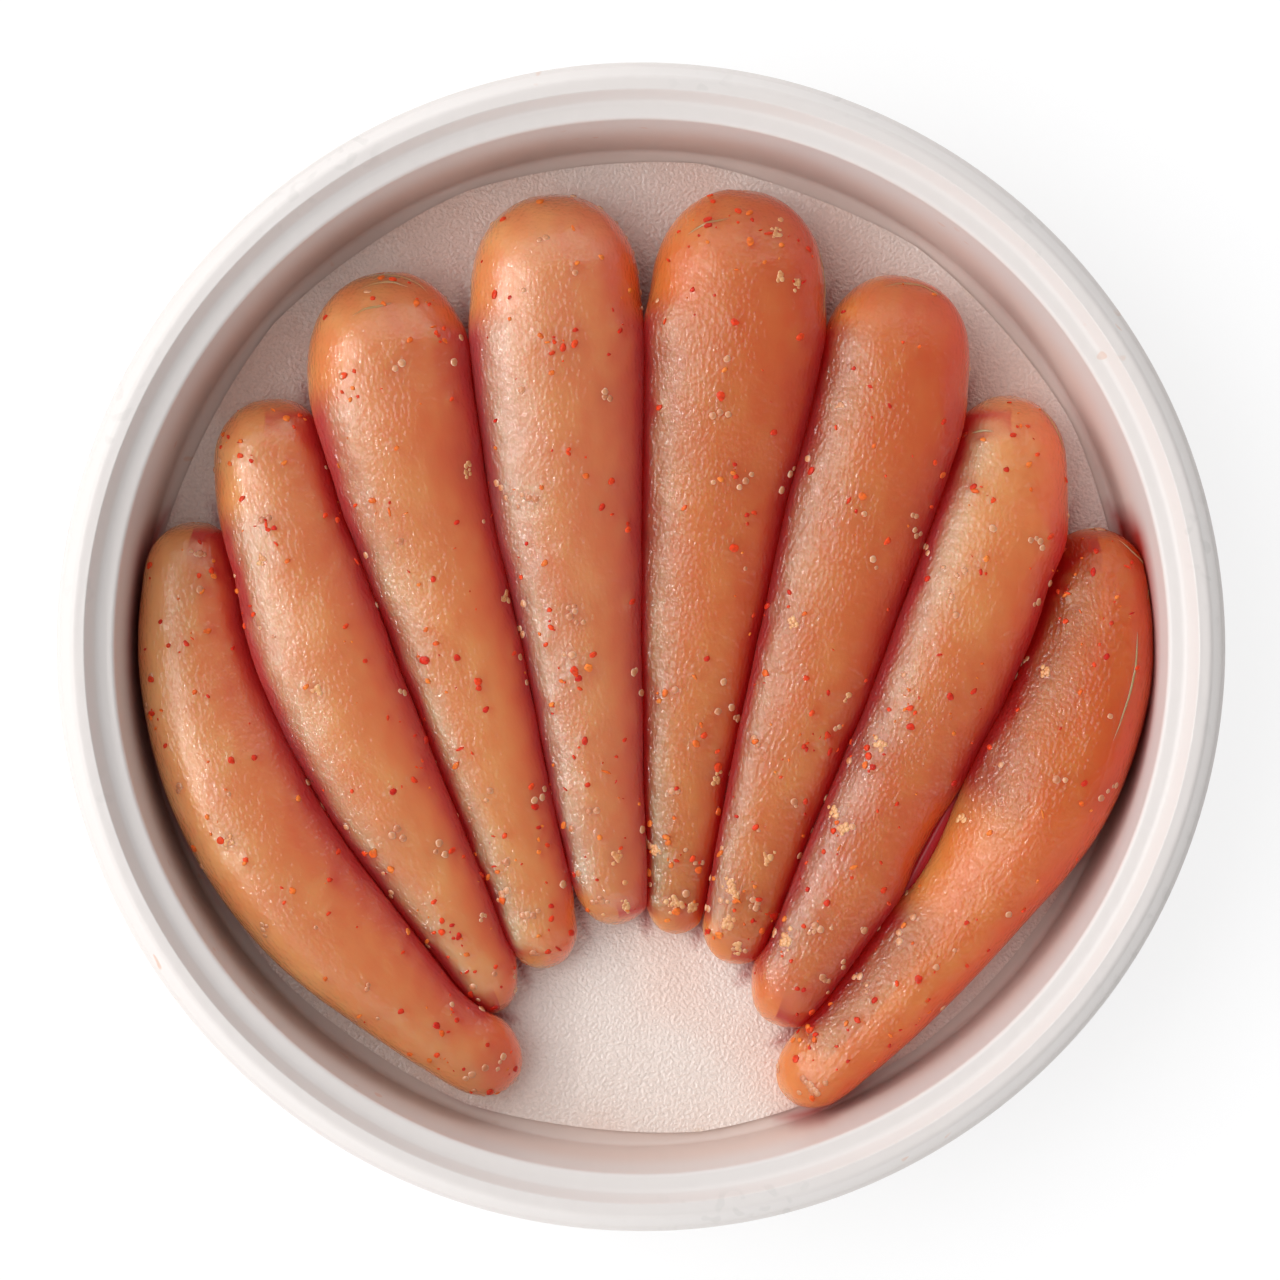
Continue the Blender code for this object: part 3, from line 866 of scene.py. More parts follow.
def loose_chips(number, plan):
    """Small chips: some alone, most of them in clusters."""
    rng = random.Random(SEED * 200 + number)
    for _ in range(LOOSE_PER_SAC):
        station = rng.uniform(LOOSE_BARE, STATIONS - LOOSE_BARE)
        angle = math.pi / 2 + rng.uniform(-LOOSE_ASIDE, LOOSE_ASIDE)
        yield small_chip(number, plan, station, angle, rng)
    for _ in range(CLUSTERS_PER_SAC):
        station = rng.uniform(CLUSTER_BARE, STATIONS - CLUSTER_BARE)
        angle = math.pi / 2 + rng.uniform(-CLUSTER_ASIDE, CLUSTER_ASIDE)
        step = np.linalg.norm(skin(plan, station + 1, angle) - skin(plan, station, angle))
        width = float(along(plan.body, station / STATIONS))
        for _ in range(rng.randint(*CLUSTER_CHIPS)):
            near = station + rng.gauss(0, CLUSTER_SPREAD) * CLUSTER_REACH / step
            beside = angle + rng.gauss(0, CLUSTER_SPREAD) * CLUSTER_REACH / (0.5 * width)
            yield small_chip(number, plan, near, beside, rng)


chips = {n: [*fused_chips(n, p), *loose_chips(n, p)] for n, p in enumerate(plans, 1)}
print("chips on each sac:", {n: len(found) for n, found in chips.items()})

# %% [markdown]
# ## The fine skins
#
# Each skin is a grid of rings. Two thirds of the points of a ring lie on its upper half, where
# the camera looks. The eggs under the membrane press it out in low lumps, and the film heaps up
# round each chip, so every point moves out along its normal by the height found there. The
# movement fades out at the flanks, where neighbours touch. Texture coordinates in metres, along
# and around the sac, are stored for the finish, because the shine's ripples follow the sac.

# %% Build a skin
RINGS = 220
RING_TOP = 76
RING_BOTTOM = 32
LUMP = 0.00042
LUMPS_A_METRE = 85
SMALL_LUMP = 0.00011
SMALL_LUMPS_A_METRE = 290
MOUND = 0.00022
MOUND_REACH = 1.5
MOUND_CHIP = 0.0008  # a chip of this size or more has the full mound
PRESS = 0.00015  # how far the flanks swell, to meet across the gap that the solids keep
RELIEF_STARTS, RELIEF_FADE = 0.05, 0.45  # by how much of the way up the flank a point lies
OTHER_NOISE = 3.1  # metres between the places where two sacs read the noise
TINY = 1e-12

top_angles = np.linspace(0, math.pi, RING_TOP, endpoint=False)
bottom_angles = np.linspace(math.pi, math.tau, RING_BOTTOM, endpoint=False)
ring_angles = np.concatenate((top_angles, bottom_angles))
AROUND = len(ring_angles)
TOP = RING_TOP // 2  # the point of a ring that lies on the crest
print(f"each skin has {RINGS - 1} rings of {AROUND} points")


def unit_normals(grid):
    """Outward normals of a grid of points whose rings are closed."""
    onward = np.gradient(grid, axis=0)
    around = np.roll(grid, -1, axis=1) - np.roll(grid, 1, axis=1)
    normals = np.cross(around, onward)
    return normals / np.maximum(np.linalg.norm(normals, axis=-1), TINY)[..., None]


def relief(grid, number):
    """How far each point of a skin stands out: lumps of eggs and film heaped round chips."""
    shift = Vector((number * OTHER_NOISE, 0, 0))
    flat = [Vector(p) for p in grid.reshape(-1, 3)]
    lumps = np.array([noise.noise(p * LUMPS_A_METRE + shift) for p in flat])
    small = np.array([noise.noise(p * SMALL_LUMPS_A_METRE + shift) for p in flat])
    height = (LUMP * lumps + SMALL_LUMP * small).reshape(grid.shape[:2])
    for chip in chips[number]:
        apart = np.linalg.norm(grid - np.array(chip.place), axis=-1)
        mound = MOUND * min(1, chip.size / MOUND_CHIP)
        height += mound * np.exp(-((apart / (MOUND_REACH * chip.size)) ** 2))
    return height


def standing(number, grid, angles):
    """How far points of a skin stand out in all, with the relief fading out at the flanks."""
    fade = np.clip((np.sin(angles) - RELIEF_STARTS) / RELIEF_FADE, 0, 1)
    fade = fade * fade * (3 - 2 * fade)
    return relief(grid, number) * fade + PRESS * np.cos(angles) ** 2


def sac_grid(number, plan):
    """Rings of points of the finished skin, without its two ends."""
    stations = np.linspace(0, STATIONS, RINGS + 1)[1:-1]
    grid = skin(plan, stations[:, None], ring_angles[None, :])
    return grid + unit_normals(grid) * standing(number, grid, ring_angles)[..., None]


def on_skin(number, place, normal, angle):
    """A place moved out along its normal to the finished skin."""
    shift = standing(number, np.array([[place]]), np.array([angle]))[0, 0]
    return Vector(place) + Vector(normal) * float(shift)


# %% Keep measures with a skin
TOUCHING = "touching"  # 1 at a point whose side is pressed against a neighbour, 0 at a free one


def add_measures(piece, plan, grid):
    """Stores metres around and along the sac as texture coordinates, and where it touches."""
    t = np.linspace(0, 1, RINGS + 1)[1:-1, None]
    touch = np.where(np.cos(ring_angles) > 0, along(plan.touch_right, t), along(plan.touch_left, t))
    touching = np.zeros(len(piece.data.vertices), np.float32)
    touching[1:-1] = np.clip(touch, 0, 1).reshape(-1)
    store(piece, TOUCHING, touching)
    steps = np.linalg.norm(np.diff(grid, axis=1, append=grid[:, :1]), axis=-1)
    around = np.concatenate((np.zeros((len(grid), 1)), np.cumsum(steps, axis=1)[:, :-1]), axis=1)
    around -= around[:, TOP:TOP + 1]
    crest = np.linalg.norm(np.diff(grid[:, TOP], axis=0), axis=-1)
    down = np.append(0, np.cumsum(crest))
    measures = np.zeros((len(piece.data.vertices), 2), np.float32)
    measures[1:-1, 0] = around.reshape(-1)
    measures[1:-1, 1] = np.repeat(down, AROUND)
    measures[-1, 1] = down[-1]
    layer = piece.data.uv_layers.new(name="around_and_along")
    corners = np.zeros(len(piece.data.loops), np.int32)
    piece.data.loops.foreach_get("vertex_index", corners)
    layer.data.foreach_set("uv", measures[corners].reshape(-1))


# %% [markdown]
# ### Wet roe membrane
#
# The sac is translucent: light enters it, wanders between the eggs and comes out redder. That is
# subsurface scattering, and Principled has it built in. Over it lie two shines. The membrane's own
# gloss is broad and hazy, and the film of marinade is a sharp coat. The film breaks into fine
# ripples along the body, so only the coat gets a bump, and it shows as glints inside the haze.
#
# The eggs inside aren't all of one colour. Every sac goes from one tint at its head to another at
# its tip, both taken between a pale roe and a red one, with soft clouds; the redder tints of sacs
# 5 to 8 are partly painted shade, darker where more light falls on them. Painted shade also goes
# by which way the skin faces: the side towards the lamp is toned down and the other side is
# painted redder and darker, which evens out how much light the thick flesh passes on. Where a
# flank is pressed against its neighbour, it is painted a dark red and made duller, partly as
# marinade soaked in and partly as painted shade where the neighbour shades it: that needs to
# know where it touches, which was stored with the points.

# %% The sacs' finish
# painted shade by which way the skin faces: toned down towards the lamp, redder away from it
PAINTED_LAMPWARD_SHADE = (0.64, 0.74, 0.84, 1)
FREE_PAINTED_LAMPWARD_SHADE = (1.0, 0.92, 0.84, 1)
PAINTED_UPPER_SHADE = (0.85, 0.67, 0.50, 1)
PAINTED_FAR_SIDE_SHADE = (0.97, 0.28, 0.06, 1)
CLOUD = (0.96, 0.78, 0.68, 1)
CLOUD_CELLS = (0.010, 0.015)  # metres around and along the sac
# painted dark red of a touching flank: partly marinade soaked in, partly painted shade
SOAKED_AND_PAINTED_SHADE_FLANK = (0.74, 0.03, 0.08, 1)
STREAK_CELLS = (0.0008, 0.0015)
BEAD_CELLS = (0.0008, 0.0009)
RIPPLE = 0.00020  # how high the film's ripples stand
FLESH_DEPTH = 0.0120
FLESH_RADIUS = (1.0, 0.08, 0.04)  # red light wanders furthest
HAZY, DULL = 0.34, 0.70  # roughness of the free skin and of a soaked flank
FLANK_STARTS, FLANK_FULL = 0.97, 0.60  # by how far up the skin faces
TINT_STARTS, TINT_FULL = 0.10, 0.75  # of the tip's tint, in shares of the length
BEAD_SHARE = 0.7  # how high the film's beads stand over its streaks


def stretched(tree, place, cells):
    """The measured place, scaled for noise with cells of this size."""
    scale = (1 / cells[0], 1 / cells[1], 1)
    return node(tree, "Mapping", {"Vector": place, "Scale": scale}).outputs[0]


def flat_grain(tree, place, cells, detail=0.0):
    sockets = {"Vector": stretched(tree, place, cells), "Scale": 1.0, "Detail": detail}
    return node(tree, "TexNoise", sockets, noise_dimensions="2D").outputs["Fac"]


def film_ripples(tree, measured):
    """A bump of fine streaks and beads, for the coat."""
    streaks = flat_grain(tree, measured, STREAK_CELLS)
    cells = {"Vector": stretched(tree, measured, BEAD_CELLS), "Scale": 1.0}
    beads = node(tree, "TexVoronoi", cells, voronoi_dimensions="2D").outputs["Distance"]
    ripple = math_node(tree, "ADD", streaks, times(tree, beads, BEAD_SHARE))
    return node(tree, "Bump", {"Strength": 1.0, "Distance": RIPPLE, "Height": ripple}).outputs[0]


def roe_membrane(number, head, tip, length, gloss, film):
    made, tree, shader = start_finish(
        f"wet_roe_membrane_{number}", Specular_IOR_Level=gloss, Coat_Weight=film,
        Coat_Roughness=0.06, Coat_IOR=1.60, Subsurface_Weight=1.0,
        Subsurface_Scale=FLESH_DEPTH, Subsurface_Radius=FLESH_RADIUS,
    )
    shader.subsurface_method = "RANDOM_WALK_SKIN"
    measured = node(tree, "UVMap", uv_map="around_and_along").outputs[0]
    down = node(tree, "SeparateXYZ", [measured]).outputs["Y"]
    facing = node(tree, "SeparateXYZ", [node(tree, "NewGeometry").outputs["Normal"]])
    sideways, upright = facing.outputs["X"], facing.outputs["Z"]
    touching = stored(tree, TOUCHING)

    towards_tip = soft_step(tree, down, TINT_STARTS * length, TINT_FULL * length)
    colour = mix(tree, towards_tip, (*head, 1), (*tip, 1))
    clouds = soft_step(tree, flat_grain(tree, measured, CLOUD_CELLS, detail=2), 0.32, 0.66)
    colour = tinted(tree, colour, CLOUD, clouds)
    # painted shade by which way the skin faces, which evens out the light
    painted_lampward_shade = mix(tree, touching, FREE_PAINTED_LAMPWARD_SHADE, PAINTED_LAMPWARD_SHADE)
    painted_side_shade = mix(tree, soft_step(tree, sideways, -0.60, 0.0), painted_lampward_shade, PAINTED_UPPER_SHADE)
    painted_side_shade = mix(tree, soft_step(tree, sideways, -0.05, 0.75), painted_side_shade, PAINTED_FAR_SIDE_SHADE)
    colour = tinted(tree, colour, painted_side_shade)
    # touching flanks painted dark red: partly soaked marinade, partly painted shade
    flank = times(tree, soft_step(tree, upright, FLANK_STARTS, FLANK_FULL), touching)
    colour = tinted(tree, colour, SOAKED_AND_PAINTED_SHADE_FLANK, flank)
    rough = soft_step(tree, flank, 0.0, 1.0, HAZY, DULL)
    ripples = film_ripples(tree, measured)
    feed(tree, shader, Base_Color=colour, Roughness=rough, Coat_Normal=ripples)
    return made


# %% Skin the sacs
PALE_ROE = Vector((0.87, 0.43, 0.155))
RED_ROE = Vector((0.63, 0.158, 0.022))
# the redder tints of sacs 5 to 8 are partly painted shade, darker where more light falls
REDNESS_AND_PAINTED_SHADE = (  # of each sac's head and tip, from 0 for pale to 1 for red
    (0.10, 0.15), (0.30, 0.10), (0.45, 0.10), (0.35, 0.35),
    (0.80, 0.55), (0.80, 0.60), (0.05, 0.80), (1.00, 0.60),
)
SHINE = (  # of each sac: the membrane's own gloss, and how much film covers it
    (0.75, 1.0), (0.75, 1.0), (0.65, 1.0), (0.95, 1.0),
    (0.35, 0.85), (0.35, 0.85), (0.45, 0.90), (0.15, 0.80),
)
sac_faces = closed_faces(RINGS - 1, AROUND)
for number, (plan, (head, tip), shine) in enumerate(zip(plans, REDNESS_AND_PAINTED_SHADE, SHINE), 1):
    grid = sac_grid(number, plan)
    points = np.vstack((skin(plan, 0, 0), grid.reshape(-1, 3), skin(plan, STATIONS, 0)))
    tints = [PALE_ROE.lerp(RED_ROE, red) for red in (head, tip)]
    finish = roe_membrane(number, *tints, plan.length, *shine)
    skin_piece = add_piece(
        f"roe_skin_{number}", points, sac_faces, finish, replaced=f"roe_sac_{number}"
    )
    add_measures(skin_piece, plan, grid)

# %% [markdown]
# ## Chilli flakes
#
# A flake is a thin angular chip, most of it sunk in the film. Each one is a small prism with its
# corners cut and its top edge eased, all of one colour joined into one mesh. Scattering instances
# would be lighter, but joined meshes stay real geometry wherever the model goes.

# %% Join the chips
CHIP_PROUD = 0.00026
CHIP_SUNK = 0.0003
CHIP_EASE = 0.78  # the top face's size over the chip's
CHIP_PEAK = 1.1  # how high its middle stands over how high its edge does
FULL_CHIP = 0.0008  # a chip of this size or more is as thick as it gets
CORNER_CUT = 0.25  # share of a side that is cut off at a corner


def cut_corners(corners):
    """The outline with each corner cut off."""
    cut = []
    for k, corner in enumerate(corners):
        here, before = Vector(corner), Vector(corners[k - 1])
        after = Vector(corners[(k + 1) % len(corners)])
        cut += [here.lerp(before, CORNER_CUT), here.lerp(after, CORNER_CUT)]
    return cut


def chip_mesh(chip, points, faces):
    """Adds a chip's points and faces to the lists that one mesh is made from."""
    base = on_skin(chip.sac, chip.place, chip.normal, chip.angle)
    side = chip.normal.orthogonal().normalized()
    across = chip.normal.cross(side)
    cut = cut_corners(chip.corners)
    first, count = len(points), len(cut)
    proud = CHIP_PROUD * min(1.0, chip.size / FULL_CHIP)
    for level, ease in ((-CHIP_SUNK, 1.0), (0.5 * proud, 1.0), (proud, CHIP_EASE)):
        for spot in cut:
            flat = side * (spot.x * ease) + across * (spot.y * ease)
            points.append(base + flat + chip.normal * level)
    points.append(base + chip.normal * (CHIP_PEAK * proud))
    for k in range(count):
        m = (k + 1) % count
        for row in (0, count):
            low = first + row
            faces.append((low + k, low + m, low + count + m, low + count + k))
        faces.append((first + 2 * count + k, first + 2 * count + m, first + 3 * count))
    faces.append(tuple(first + k for k in reversed(range(count))))


# %% The chips' finish
BLOTCHES_A_METRE = 1500


def flake_finish(name, dark, light):
    made, tree, shader = start_finish(
        name, Roughness=0.35, Specular_IOR_Level=0.12, Subsurface_Weight=0.25,
        Subsurface_Scale=0.0006, Coat_Weight=0.25, Coat_Roughness=0.08, Coat_IOR=1.36,
    )
    each = node(tree, "NewGeometry").outputs["Random Per Island"]
    place = node(tree, "TexCoord").outputs["Object"]
    colour = mix(tree, each, (*dark, 1), (*light, 1))
    blotch = soft_step(tree, grain(tree, place, BLOTCHES_A_METRE, detail=2), 0.3, 0.7, 0.8, 1.15)
    feed(tree, shader, Base_Color=scaled(tree, colour, blotch))
    return made


FLAKE_KINDS = (
    ("red_chilli_flakes", True, (0.60, 0.020, 0.010), (0.88, 0.080, 0.016)),
    ("orange_chilli_flakes", False, (0.80, 0.12, 0.018), (0.88, 0.24, 0.040)),
)
for name, red, dark, light in FLAKE_KINDS:
    flake_points, flake_faces = [], []
    for found in chips.values():
        for chip in found:
            if chip.red == red:
                chip_mesh(chip, flake_points, flake_faces)
    finish = flake_finish("wet_" + name, dark, light)
    add_piece(name, flake_points, flake_faces, finish, sharp=50)

# %% [markdown]
# ## Loose roe
#
# Where a membrane was pricked or torn, single eggs have come out. They lie on the skins alone, in
# pairs and in small clumps, pale and glassy, and some stick to the heads' outlines. Each egg is a
# slightly lumpy ball, flattened and half sunk. The clumps that stand out in the photo are put
# where it shows them, with more and smaller eggs, and the others are drawn at random, more of them
# towards the tips.

# %% Where the loose eggs lie
EGGS_PER_SAC = 22
EGG_SIZES = (0.00040, 0.00085)  # radius
CLUMP_EGG_SIZES = (0.00025, 0.00060)
EGG_COMPANY = 0.45  # chance of a neighbour, and again of a third
EGG_STEP = 1.7  # radii from one to the next
EGG_FIRST, EGG_STRETCH = 0.10, 0.82  # shares of the sac before the eggs, and with eggs
EGG_CROWDING = 0.7  # below 1, so more of them lie near the tip
EGG_ASIDE = 1.35  # radians from the crest
CLUMP_SHAPE = (0.45, 0.55)  # of its spread, across and down the photo
CLUMPS = (  # sac, pixel, eggs, spread in pixels
    (4, (618, 857), 9, 6), (4, (627, 906), 8, 5), (4, (625, 883), 1, 1), (4, (603, 915), 1, 1),
    (5, (717, 776), 7, 5), (5, (657, 850), 8, 5), (5, (676, 905), 13, 8), (5, (692, 907), 9, 5),
    (5, (777, 232), 7, 5), (5, (781, 219), 1, 1), (5, (780, 275), 6, 4), (5, (797, 282), 7, 4),
    (6, (731, 888), 16, 9), (6, (728, 924), 12, 7), (6, (738, 947), 7, 5), (6, (768, 858), 9, 6),
    (6, (795, 622), 6, 5), (6, (848, 695), 3, 3), (7, (836, 812), 10, 6), (7, (842, 828), 7, 5),
    (7, (786, 940), 10, 7), (7, (880, 745), 7, 6), (3, (468, 470), 5, 6), (3, (505, 598), 6, 5),
    (2, (318, 690), 6, 5), (2, (262, 560), 5, 5), (1, (228, 842), 6, 5), (8, (1046, 672), 5, 5),
    (8, (905, 890), 6, 5), (8, (962, 820), 5, 5),
)
NUBS = (  # sac, pixel on its outline, radius
    (4, (575, 192), 0.0008), (4, (601, 207), 0.0008), (4, (489, 221), 0.0007),
    (4, (617, 222), 0.0005), (4, (626, 237), 0.0005), (4, (634, 252), 0.0005),
    (4, (641, 272), 0.0005), (4, (645, 292), 0.0007), (4, (644, 308), 0.0006),
    (8, (1103, 520), 0.0014), (7, (1070, 516), 0.0006), (2, (214, 470), 0.0007),
    (3, (453, 292), 0.0005), (6, (972, 368), 0.0006), (5, (658, 300), 0.0005),
)
print(f"{len(CLUMPS)} clumps of {2 * sum(eggs for _, _, eggs, _ in CLUMPS)} eggs in all")

# %% A lumpy ball
EGG_AROUND = 14
EGG_RINGS = 9
EGG_LUMPS, EGG_LUMPS_ACROSS = 0.22, 1.4  # height of its lumps in radii, lumps in a radius
EGG_APART = 7.3  # radii between the places where two eggs read the noise


def add_ball(points, faces, heights, centre, normal, size, flat, shift):
    """Adds a slightly lumpy ball, flattened along the normal, and where each point lies on it."""
    side = normal.orthogonal().normalized()
    across = normal.cross(side)
    first = len(points)
    points.append(centre - normal * (size * flat))
    levels = -np.cos(math.pi * np.arange(1, EGG_RINGS) / EGG_RINGS)
    heights += [-1.0, *np.repeat(levels, EGG_AROUND), 1.0]
    for i in range(1, EGG_RINGS):
        tilt = math.pi * i / EGG_RINGS
        for j in range(EGG_AROUND):
            turn = math.tau * j / EGG_AROUND
            x, y = math.sin(tilt) * math.cos(turn), math.sin(tilt) * math.sin(turn)
            z = -math.cos(tilt)
            place = Vector((x + EGG_APART * shift, y, z)) * EGG_LUMPS_ACROSS
            swell = 1 + EGG_LUMPS * noise.noise(place)
            spot = side * x + across * y + normal * (z * flat)
            points.append(centre + spot * (size * swell))
    points.append(centre + normal * (size * flat))
    last = len(points) - 1
    for j in range(EGG_AROUND):
        k = (j + 1) % EGG_AROUND
        faces.append((first, first + 1 + k, first + 1 + j))
        for i in range(EGG_RINGS - 2):
            low = first + 1 + i * EGG_AROUND
            faces.append((low + j, low + k, low + EGG_AROUND + k, low + EGG_AROUND + j))
        faces.append((last - EGG_AROUND + j, last - EGG_AROUND + k, last))


# %% Draw the eggs' places
def single_eggs():
    """Sac, station, angle and radius of the eggs that lie alone or in twos and threes."""
    rng = random.Random(SEED * 31)
    for number, plan in enumerate(plans, 1):
        for _ in range(EGGS_PER_SAC):
            station = STATIONS * (EGG_FIRST + EGG_STRETCH * rng.random() ** EGG_CROWDING)
            angle = math.pi / 2 + rng.uniform(-EGG_ASIDE, EGG_ASIDE)
            size = rng.uniform(*EGG_SIZES)
            yield number, station, angle, size
            while rng.random() < EGG_COMPANY:
                width = float(along(plan.body, station / STATIONS))
                angle += rng.choice((-1, 1)) * EGG_STEP * size / (0.5 * width)
                station += rng.uniform(-1, 1) * EGG_STEP * size / plan.length * STATIONS
                yield number, station, angle, rng.uniform(*EGG_SIZES)
    for number, pixel, size in NUBS:
        yield number, *place_at(number, pixel), size


def clumped_eggs():
    """Sac, station, angle and radius of the eggs in the clumps: more of them, and smaller."""
    rng = random.Random(SEED * 37)
    for number, (x, y), eggs, spread in CLUMPS:
        for _ in range(2 * eggs):
            across, down = (rng.gauss(0, shape) * spread for shape in CLUMP_SHAPE)
            yield number, *place_at(number, (x + across, y + down)), rng.uniform(*CLUMP_EGG_SIZES)


# %% [markdown]
# The eggs are glassy, with a bright rim where light comes through and a darker middle. Real
# scattering in thousands of balls takes long to render, and at two pixels an egg nobody sees the
# difference. So that light is painted: each egg's colour goes by how high a point lies on it,
# which is stored with the points, with a painted bright rim and a darker middle, and each has its
# own tint between pink and straw.

# %% Make the loose eggs
EGG_FLAT = 0.48
EGG_SUNK = 0.10  # how much of its radius its middle lies under the skin
EGG_HEIGHT = "height_on_the_egg"  # -1 at an egg's foot, 1 on its top


def egg_finish(name, middles, painted_lit_rims):
    """Two colours each for the eggs' middles and painted lit rims, one for the reddest egg, one for the
    palest.
    """
    made, tree, shader = start_finish(
        name, Roughness=0.3, Coat_Weight=1.0, Coat_Roughness=0.10, Coat_IOR=1.45
    )
    each = node(tree, "NewGeometry").outputs["Random Per Island"]
    height = stored(tree, EGG_HEIGHT)
    middle, painted_lit_rim = mix(tree, each, *middles), mix(tree, each, *painted_lit_rims)
    # painted light: a lighter rim and a darker middle on every egg
    feed(tree, shader, Base_Color=mix(tree, soft_step(tree, height, 0.80, 0.35), middle, painted_lit_rim))
    return made


EGG_KINDS = (
    ("loose_roe", single_eggs, ((0.56, 0.17, 0.06, 1), (0.70, 0.30, 0.13, 1)),
     ((0.70, 0.33, 0.16, 1), (0.84, 0.52, 0.32, 1))),
    ("clumped_roe", clumped_eggs, ((0.68, 0.24, 0.07, 1), (0.80, 0.40, 0.15, 1)),
     ((0.80, 0.40, 0.16, 1), (0.90, 0.58, 0.30, 1))),
)
for name, draw, middles, painted_lit_rims in EGG_KINDS:
    egg_points, egg_faces, egg_heights = [], [], []
    for shift, (number, station, angle, size) in enumerate(draw()):
        here, normal = outward(plans[number - 1], station, angle)
        centre = on_skin(number, here, normal, angle) + Vector(normal) * (-EGG_SUNK * size)
        add_ball(egg_points, egg_faces, egg_heights, centre, Vector(normal), size, EGG_FLAT, shift)
    eggs = add_piece(name, egg_points, egg_faces, egg_finish("glassy_" + name, middles, painted_lit_rims))
    store(eggs, EGG_HEIGHT, egg_heights)

# %% [markdown]
# ## Folds of the membrane
#
# The membrane is a little too large for what it holds, and where it goes over a head it lies in
# thin folds, like the skin on warm milk. Each fold is a thin cord, mostly sunk in the skin and
# pointed at both ends, that runs through a few pixels where the photo shows it.

# %% Where the folds run
FOLDS = (  # sac, pixels that the fold runs through
    (3, ((349, 285), (371, 277), (386, 275), (403, 278), (417, 284), (428, 294))),
    (3, ((357, 290), (375, 283), (394, 283), (409, 287))),
    (3, ((352, 316), (366, 309), (380, 306), (392, 303))),
    (5, ((688, 234), (700, 227), (714, 222), (729, 217))),
    (5, ((817, 246), (822, 268), (824, 292), (823, 318))),
    (6, ((884, 287), (903, 283), (925, 286), (945, 299))),
    (7, ((1040, 407), (1050, 418), (1058, 432), (1064, 450))),
    (7, ((972, 433), (983, 430), (994, 431))),
    (8, ((1120, 541), (1134, 553), (1144, 572), (1148, 600))),
    (8, ((1138, 632), (1136, 668), (1127, 706), (1114, 742))),
)
print(f"{len(FOLDS)} folds")

# %% A tapering cord
CORD_SIDES = 8
TAPER = 0.6  # below 1, so a cord keeps its thickness until near its ends


def add_cord(points, faces, spots, radii, ups):
    """Adds a round cord through spots, with a radius and an upward direction at each."""
    first, last = len(points), len(spots) - 1
    for k, (spot, radius, up) in enumerate(zip(spots, radii, ups)):
        ahead = (spots[min(k + 1, last)] - spots[max(k - 1, 0)]).normalized()
        aside = ahead.cross(up).normalized()
        for s in range(CORD_SIDES):
            turn = math.tau * s / CORD_SIDES
            points.append(spot + (aside * math.cos(turn) + up * math.sin(turn)) * radius)
    for k in range(last):
        for s in range(CORD_SIDES):
            a, b = first + k * CORD_SIDES + s, first + k * CORD_SIDES + (s + 1) % CORD_SIDES
            faces.append((a, b, b + CORD_SIDES, a + CORD_SIDES))
    faces.append(tuple(first + s for s in reversed(range(CORD_SIDES))))
    faces.append(tuple(first + last * CORD_SIDES + s for s in range(CORD_SIDES)))


def taper(steps):
    """1 along a cord and 0 at its ends."""
    return [math.sin(math.pi * (k + 0.5) / steps) ** TAPER for k in range(steps)]


# %% Lay the folds
FOLD_RADIUS = 0.00026
FOLD_SUNK = 0.45  # how much of its radius the fold's middle lies under the skin
FOLD_STEPS = 48


def add_fold(points, faces, number, path):
    """Adds a thin tapering cord through pixels of the photo, sunk in the skin."""
    t = np.linspace(0, 1, FOLD_STEPS)
    places = np.array([place_at(number, pixel) for pixel in path])
    stations, angles = along(places[:, 0], t), along(places[:, 1], t)
    here, normals = outward(plans[number - 1], stations, angles)
    radii = [FOLD_RADIUS * share for share in taper(FOLD_STEPS)]
    spots = [
        on_skin(number, here[k], normals[k], angles[k]) - Vector(normals[k]) * (FOLD_SUNK * radii[k])
        for k in range(FOLD_STEPS)
    ]
    add_cord(points, faces, spots, radii, [Vector(normal) for normal in normals])


fold_finish, _, _ = start_finish(
    "wet_fold", Base_Color=(0.84, 0.30, 0.12, 1), Roughness=0.3, Subsurface_Weight=0.9,
    Subsurface_Scale=0.006, Subsurface_Radius=(1.0, 0.22, 0.10),
    Coat_Weight=1.0, Coat_Roughness=0.15, Coat_IOR=1.5,
)
fold_points, fold_faces = [], []
for number, path in FOLDS:
    add_fold(fold_points, fold_faces, number, path)
add_piece("membrane_folds", fold_points, fold_faces, fold_finish)

# %% [markdown]
# ## Marinade and painted shade in the seams
#
# The valleys between the sacs are the darkest red in the photo, because marinade stands in them
# and light only reaches it through the flesh. A wet dark red cord lies along each seam where the
# flanks touch, as wide as the gap there, with both sides of it sunk in the flanks. It gets thinner
# and dips towards its ends. Its dark red is partly the marinade and partly painted shade that fills
# the gap where the seam lies in shade.

# %% Fill the seams
SEAM_STEPS = 90
SEAM_TOUCH = 0.9  # marinade stands where the flanks touch more than this
SEAM_WIDEST = 0.0028  # and in no wider gap
SEAM_OVERLAP = 0.0007
SEAM_LIFT = 0.0010
SEAM_DIP = 0.0080  # how deep the marinade lies at both ends of a seam


def seam(one, two):
    """Middle points and radii of the marinade between two sacs, where they are close."""
    touched = np.flatnonzero(one.touch_right > SEAM_TOUCH)
    stations = np.linspace(touched[0], touched[-1], SEAM_STEPS)
    from_one = skin(one, stations, 0.0)
    from_two = skin(two, np.linspace(0.5, STATIONS - 0.5, 4 * SEAM_STEPS), math.pi)
    spots, radii = [], []
    for point in from_one:
        apart = np.linalg.norm(from_two[:, :2] - point[:2], axis=1)
        k = np.argmin(apart)
        if apart[k] < SEAM_WIDEST:
            spots.append(Vector((point + from_two[k]) / 2) + Vector((0, 0, SEAM_LIFT)))
            radii.append(apart[k] / 2 + SEAM_OVERLAP)
    return spots, radii


